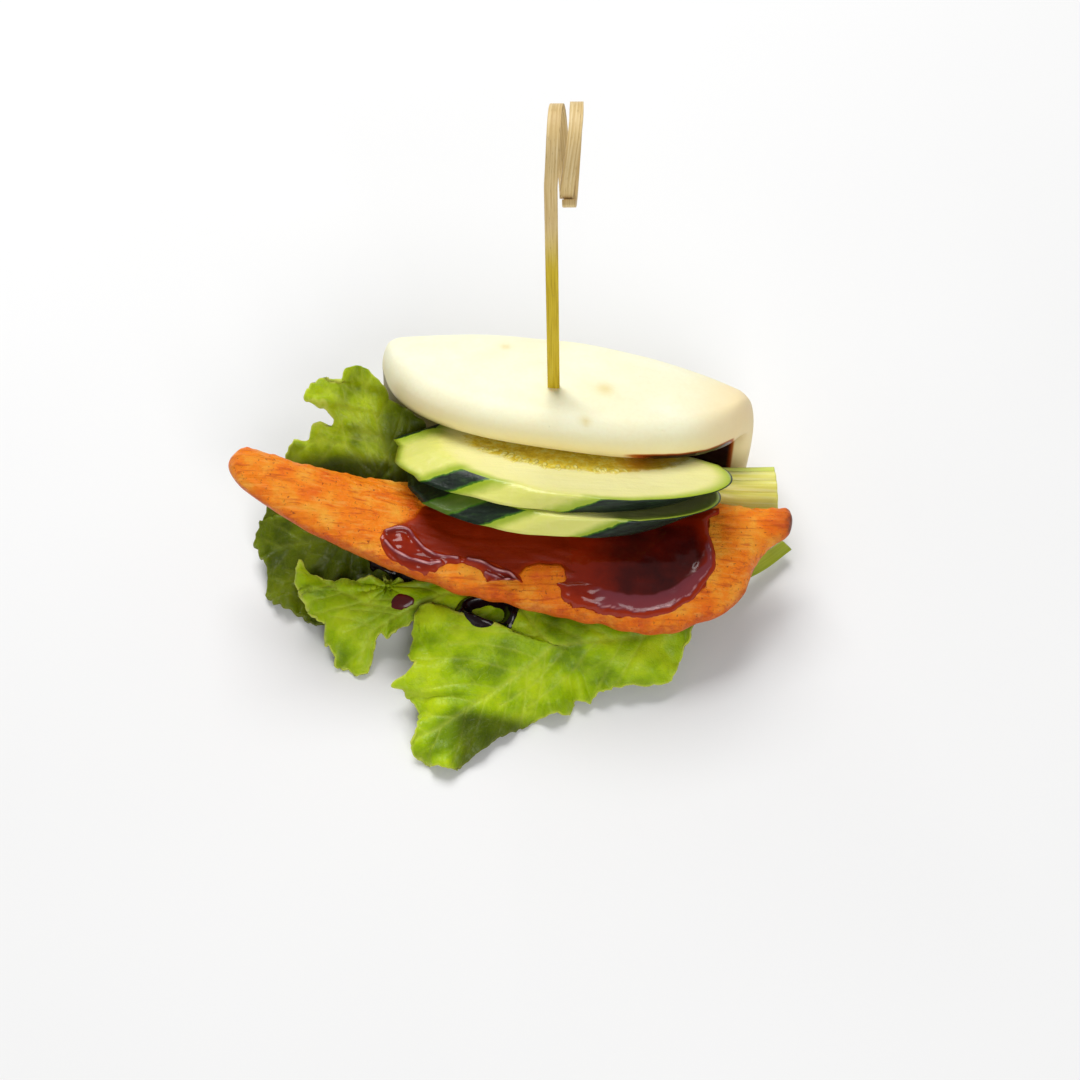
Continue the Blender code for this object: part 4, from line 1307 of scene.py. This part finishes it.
def stem_finish(name, low, mid, high):
    look = Finish(name)
    run, side = look.attribute("run"), look.attribute("side")
    streak = look.noise(look.combine(look.times(side, 22), run), 1, 3)
    colour = look.layered(
        look.ramp(streak, (0.3, *low), (0.5, *mid), (0.75, *high)),
        (look.span(side, 0.2, 0, 0, 0.6), 196, 220, 90),
        (look.span(side, 0.55, 1, 0, 0.5), *low),
    )
    look.set(base_color=colour, roughness=0.32)
    look.soak(0.3, (0.9, 1, 0.3), 2)
    look.bump((streak, 0.15), (look.noise(look.place(), 1.2, 3), 0.1))
    return look.material


def make_ribbed(name, node, stations, arch, ribs, rib_height, thickness, slot, finish):
    along, across = 60, 64
    points = lattice(along, across, ribbed_surface(stations, arch, ribs, rib_height))
    run, side = np.meshgrid(np.linspace(0, 1, along + 1), np.linspace(0, 1, across + 1), indexing="ij")
    dress(sheet(name, points, {"run": run, "side": side}, finish, thickness), slot, node)


# The pick.


def coil_point(turns):
    right, outside = through(COIL, turns)
    angle = math.pi - math.tau * turns
    y = COIL_DEPTH + (COIL_DEPTH + outside) * math.cos(angle)
    z = COIL_CENTRE_Z + (COIL_HEIGHT + outside) * math.sin(angle)
    return Vector((right, y, z))


def pick_surface(t, s):
    """The strip's middle surface: straight from its point to the coil, then round the coil."""
    if t < 1 - COIL_SHARE:
        z = PICK_FOOT.z + (COIL_CENTRE_Z - PICK_FOOT.z) * t / (1 - COIL_SHARE)
        point = Vector((0, 0, z))
    else:
        point = coil_point(COIL[-1][0] * (t - 1 + COIL_SHARE) / COIL_SHARE)
    full = smooth_step(point.z - PICK_FOOT.z, 0, PICK_POINT)
    width = PICK_WIDTH * (PICK_TIP + (1 - PICK_TIP) * full)
    point.x += width * (s - 0.5)
    point -= Vector((0, 0, PICK_FOOT.z))
    point.rotate(Euler((0, PICK_LEAN, 0)))
    return PICK_FOOT + point


def bamboo_finish():
    """Split bamboo, greener below its coil, with a grain and dark pores along it."""
    look = Finish("Bamboo")
    run, side = look.attribute("run"), look.attribute("side")

    def streaks(along, across, *detail):
        where = look.combine(look.times(run, along), look.times(side, across))
        return look.noise(where, 1, *detail)

    grain = streaks(0.05, 2.2, 5, 0.6)
    pores = look.span(streaks(0.4, 6, 2), 0.62, 0.75)
    green = look.ramp(grain, (0.3, 174, 146, 12), (0.5, 208, 180, 34), (0.72, 222, 202, 66))
    colour = look.layered(
        look.ramp(grain, (0.3, 190, 156, 96), (0.5, 216, 188, 130), (0.72, 236, 214, 164)),
        (look.span(run, 120, 98), green),
        (look.times(pores, 0.4), 128, 92, 40),
    )
    look.set(base_color=colour, roughness=0.5, specular_ior_level=0.3)
    look.bump((grain, 0.12), (pores, -0.05))
    return look.material


def make_pick():
    along, across = 420, 8
    points = lattice(along, across, pick_surface)
    steps = np.linalg.norm(np.diff(points[:, across // 2], axis=0), axis=1)
    run = np.concatenate(([0], np.cumsum(steps)))
    side = np.linspace(-0.5, 0.5, across + 1) * PICK_WIDTH
    attributes = {"run": np.repeat(run, across + 1), "side": np.tile(side, along + 1)}
    piece = sheet("pick_strip", points, attributes, bamboo_finish(), PICK_THICKNESS)
    rounding = piece.modifiers.new("Rounding", "BEVEL")
    rounding.width = 0.25 * MM
    rounding.segments = 2
    rounding.limit_method = "ANGLE"
    dress(piece, "bamboo", "pick")


# The stage.


def make_stage():
    look = Finish("Pale floor")
    colour = look.ramp(look.noise(look.place(), 0.004, 2), (0.3, 238, 238, 238), (0.7, 241, 241, 241))
    look.set(base_color=colour, roughness=0.8)
    mesh = bpy.data.meshes.new("floor")
    corners = [(FLOOR_HALF * x, FLOOR_HALF * y, 0) for x, y in ((-1, -1), (1, -1), (1, 1), (-1, 1))]
    mesh.from_pydata(corners, [], [(0, 1, 2, 3)])
    mesh.materials.append(look.material)
    floor = add_object("floor", mesh)


def make_light():
    world = bpy.data.worlds.new("Studio")
    world.use_nodes = True
    background = world.node_tree.nodes["Background"]
    background.inputs["Color"].default_value = (1, 1, 1, 1)
    background.inputs["Strength"].default_value = ROOM_LIGHT
    bpy.context.scene.world = world
    for name, place, size, power in LAMPS:
        light = bpy.data.lights.new(name, "AREA")
        light.size = size
        light.energy = power
        lamp = add_object(name, light)
        lamp.location = place
        lamp.rotation_euler = (LAMP_AIM - Vector(place)).to_track_quat("-Z", "Y").to_euler()


def make_camera():
    lens = bpy.data.cameras.new("camera")
    lens.sensor_width = SENSOR
    lens.lens = SENSOR * FOCAL_LENGTH_PX / PHOTO_SIZE
    lens.clip_start = 0.01
    camera = add_object("camera", lens)
    camera.location = (CAMERA_PLACE + PLACE) * MM
    camera.rotation_euler = (CAMERA_TILT, 0, 0)
    bpy.context.scene.camera = camera
    bpy.context.scene.view_settings.view_transform = "Standard"


def main():
    make_stage()
    make_light()
    make_camera()
    make_bun()
    make_cucumber()
    make_meat()
    make_lettuce()
    make_pick()
    make_sauce()


main()
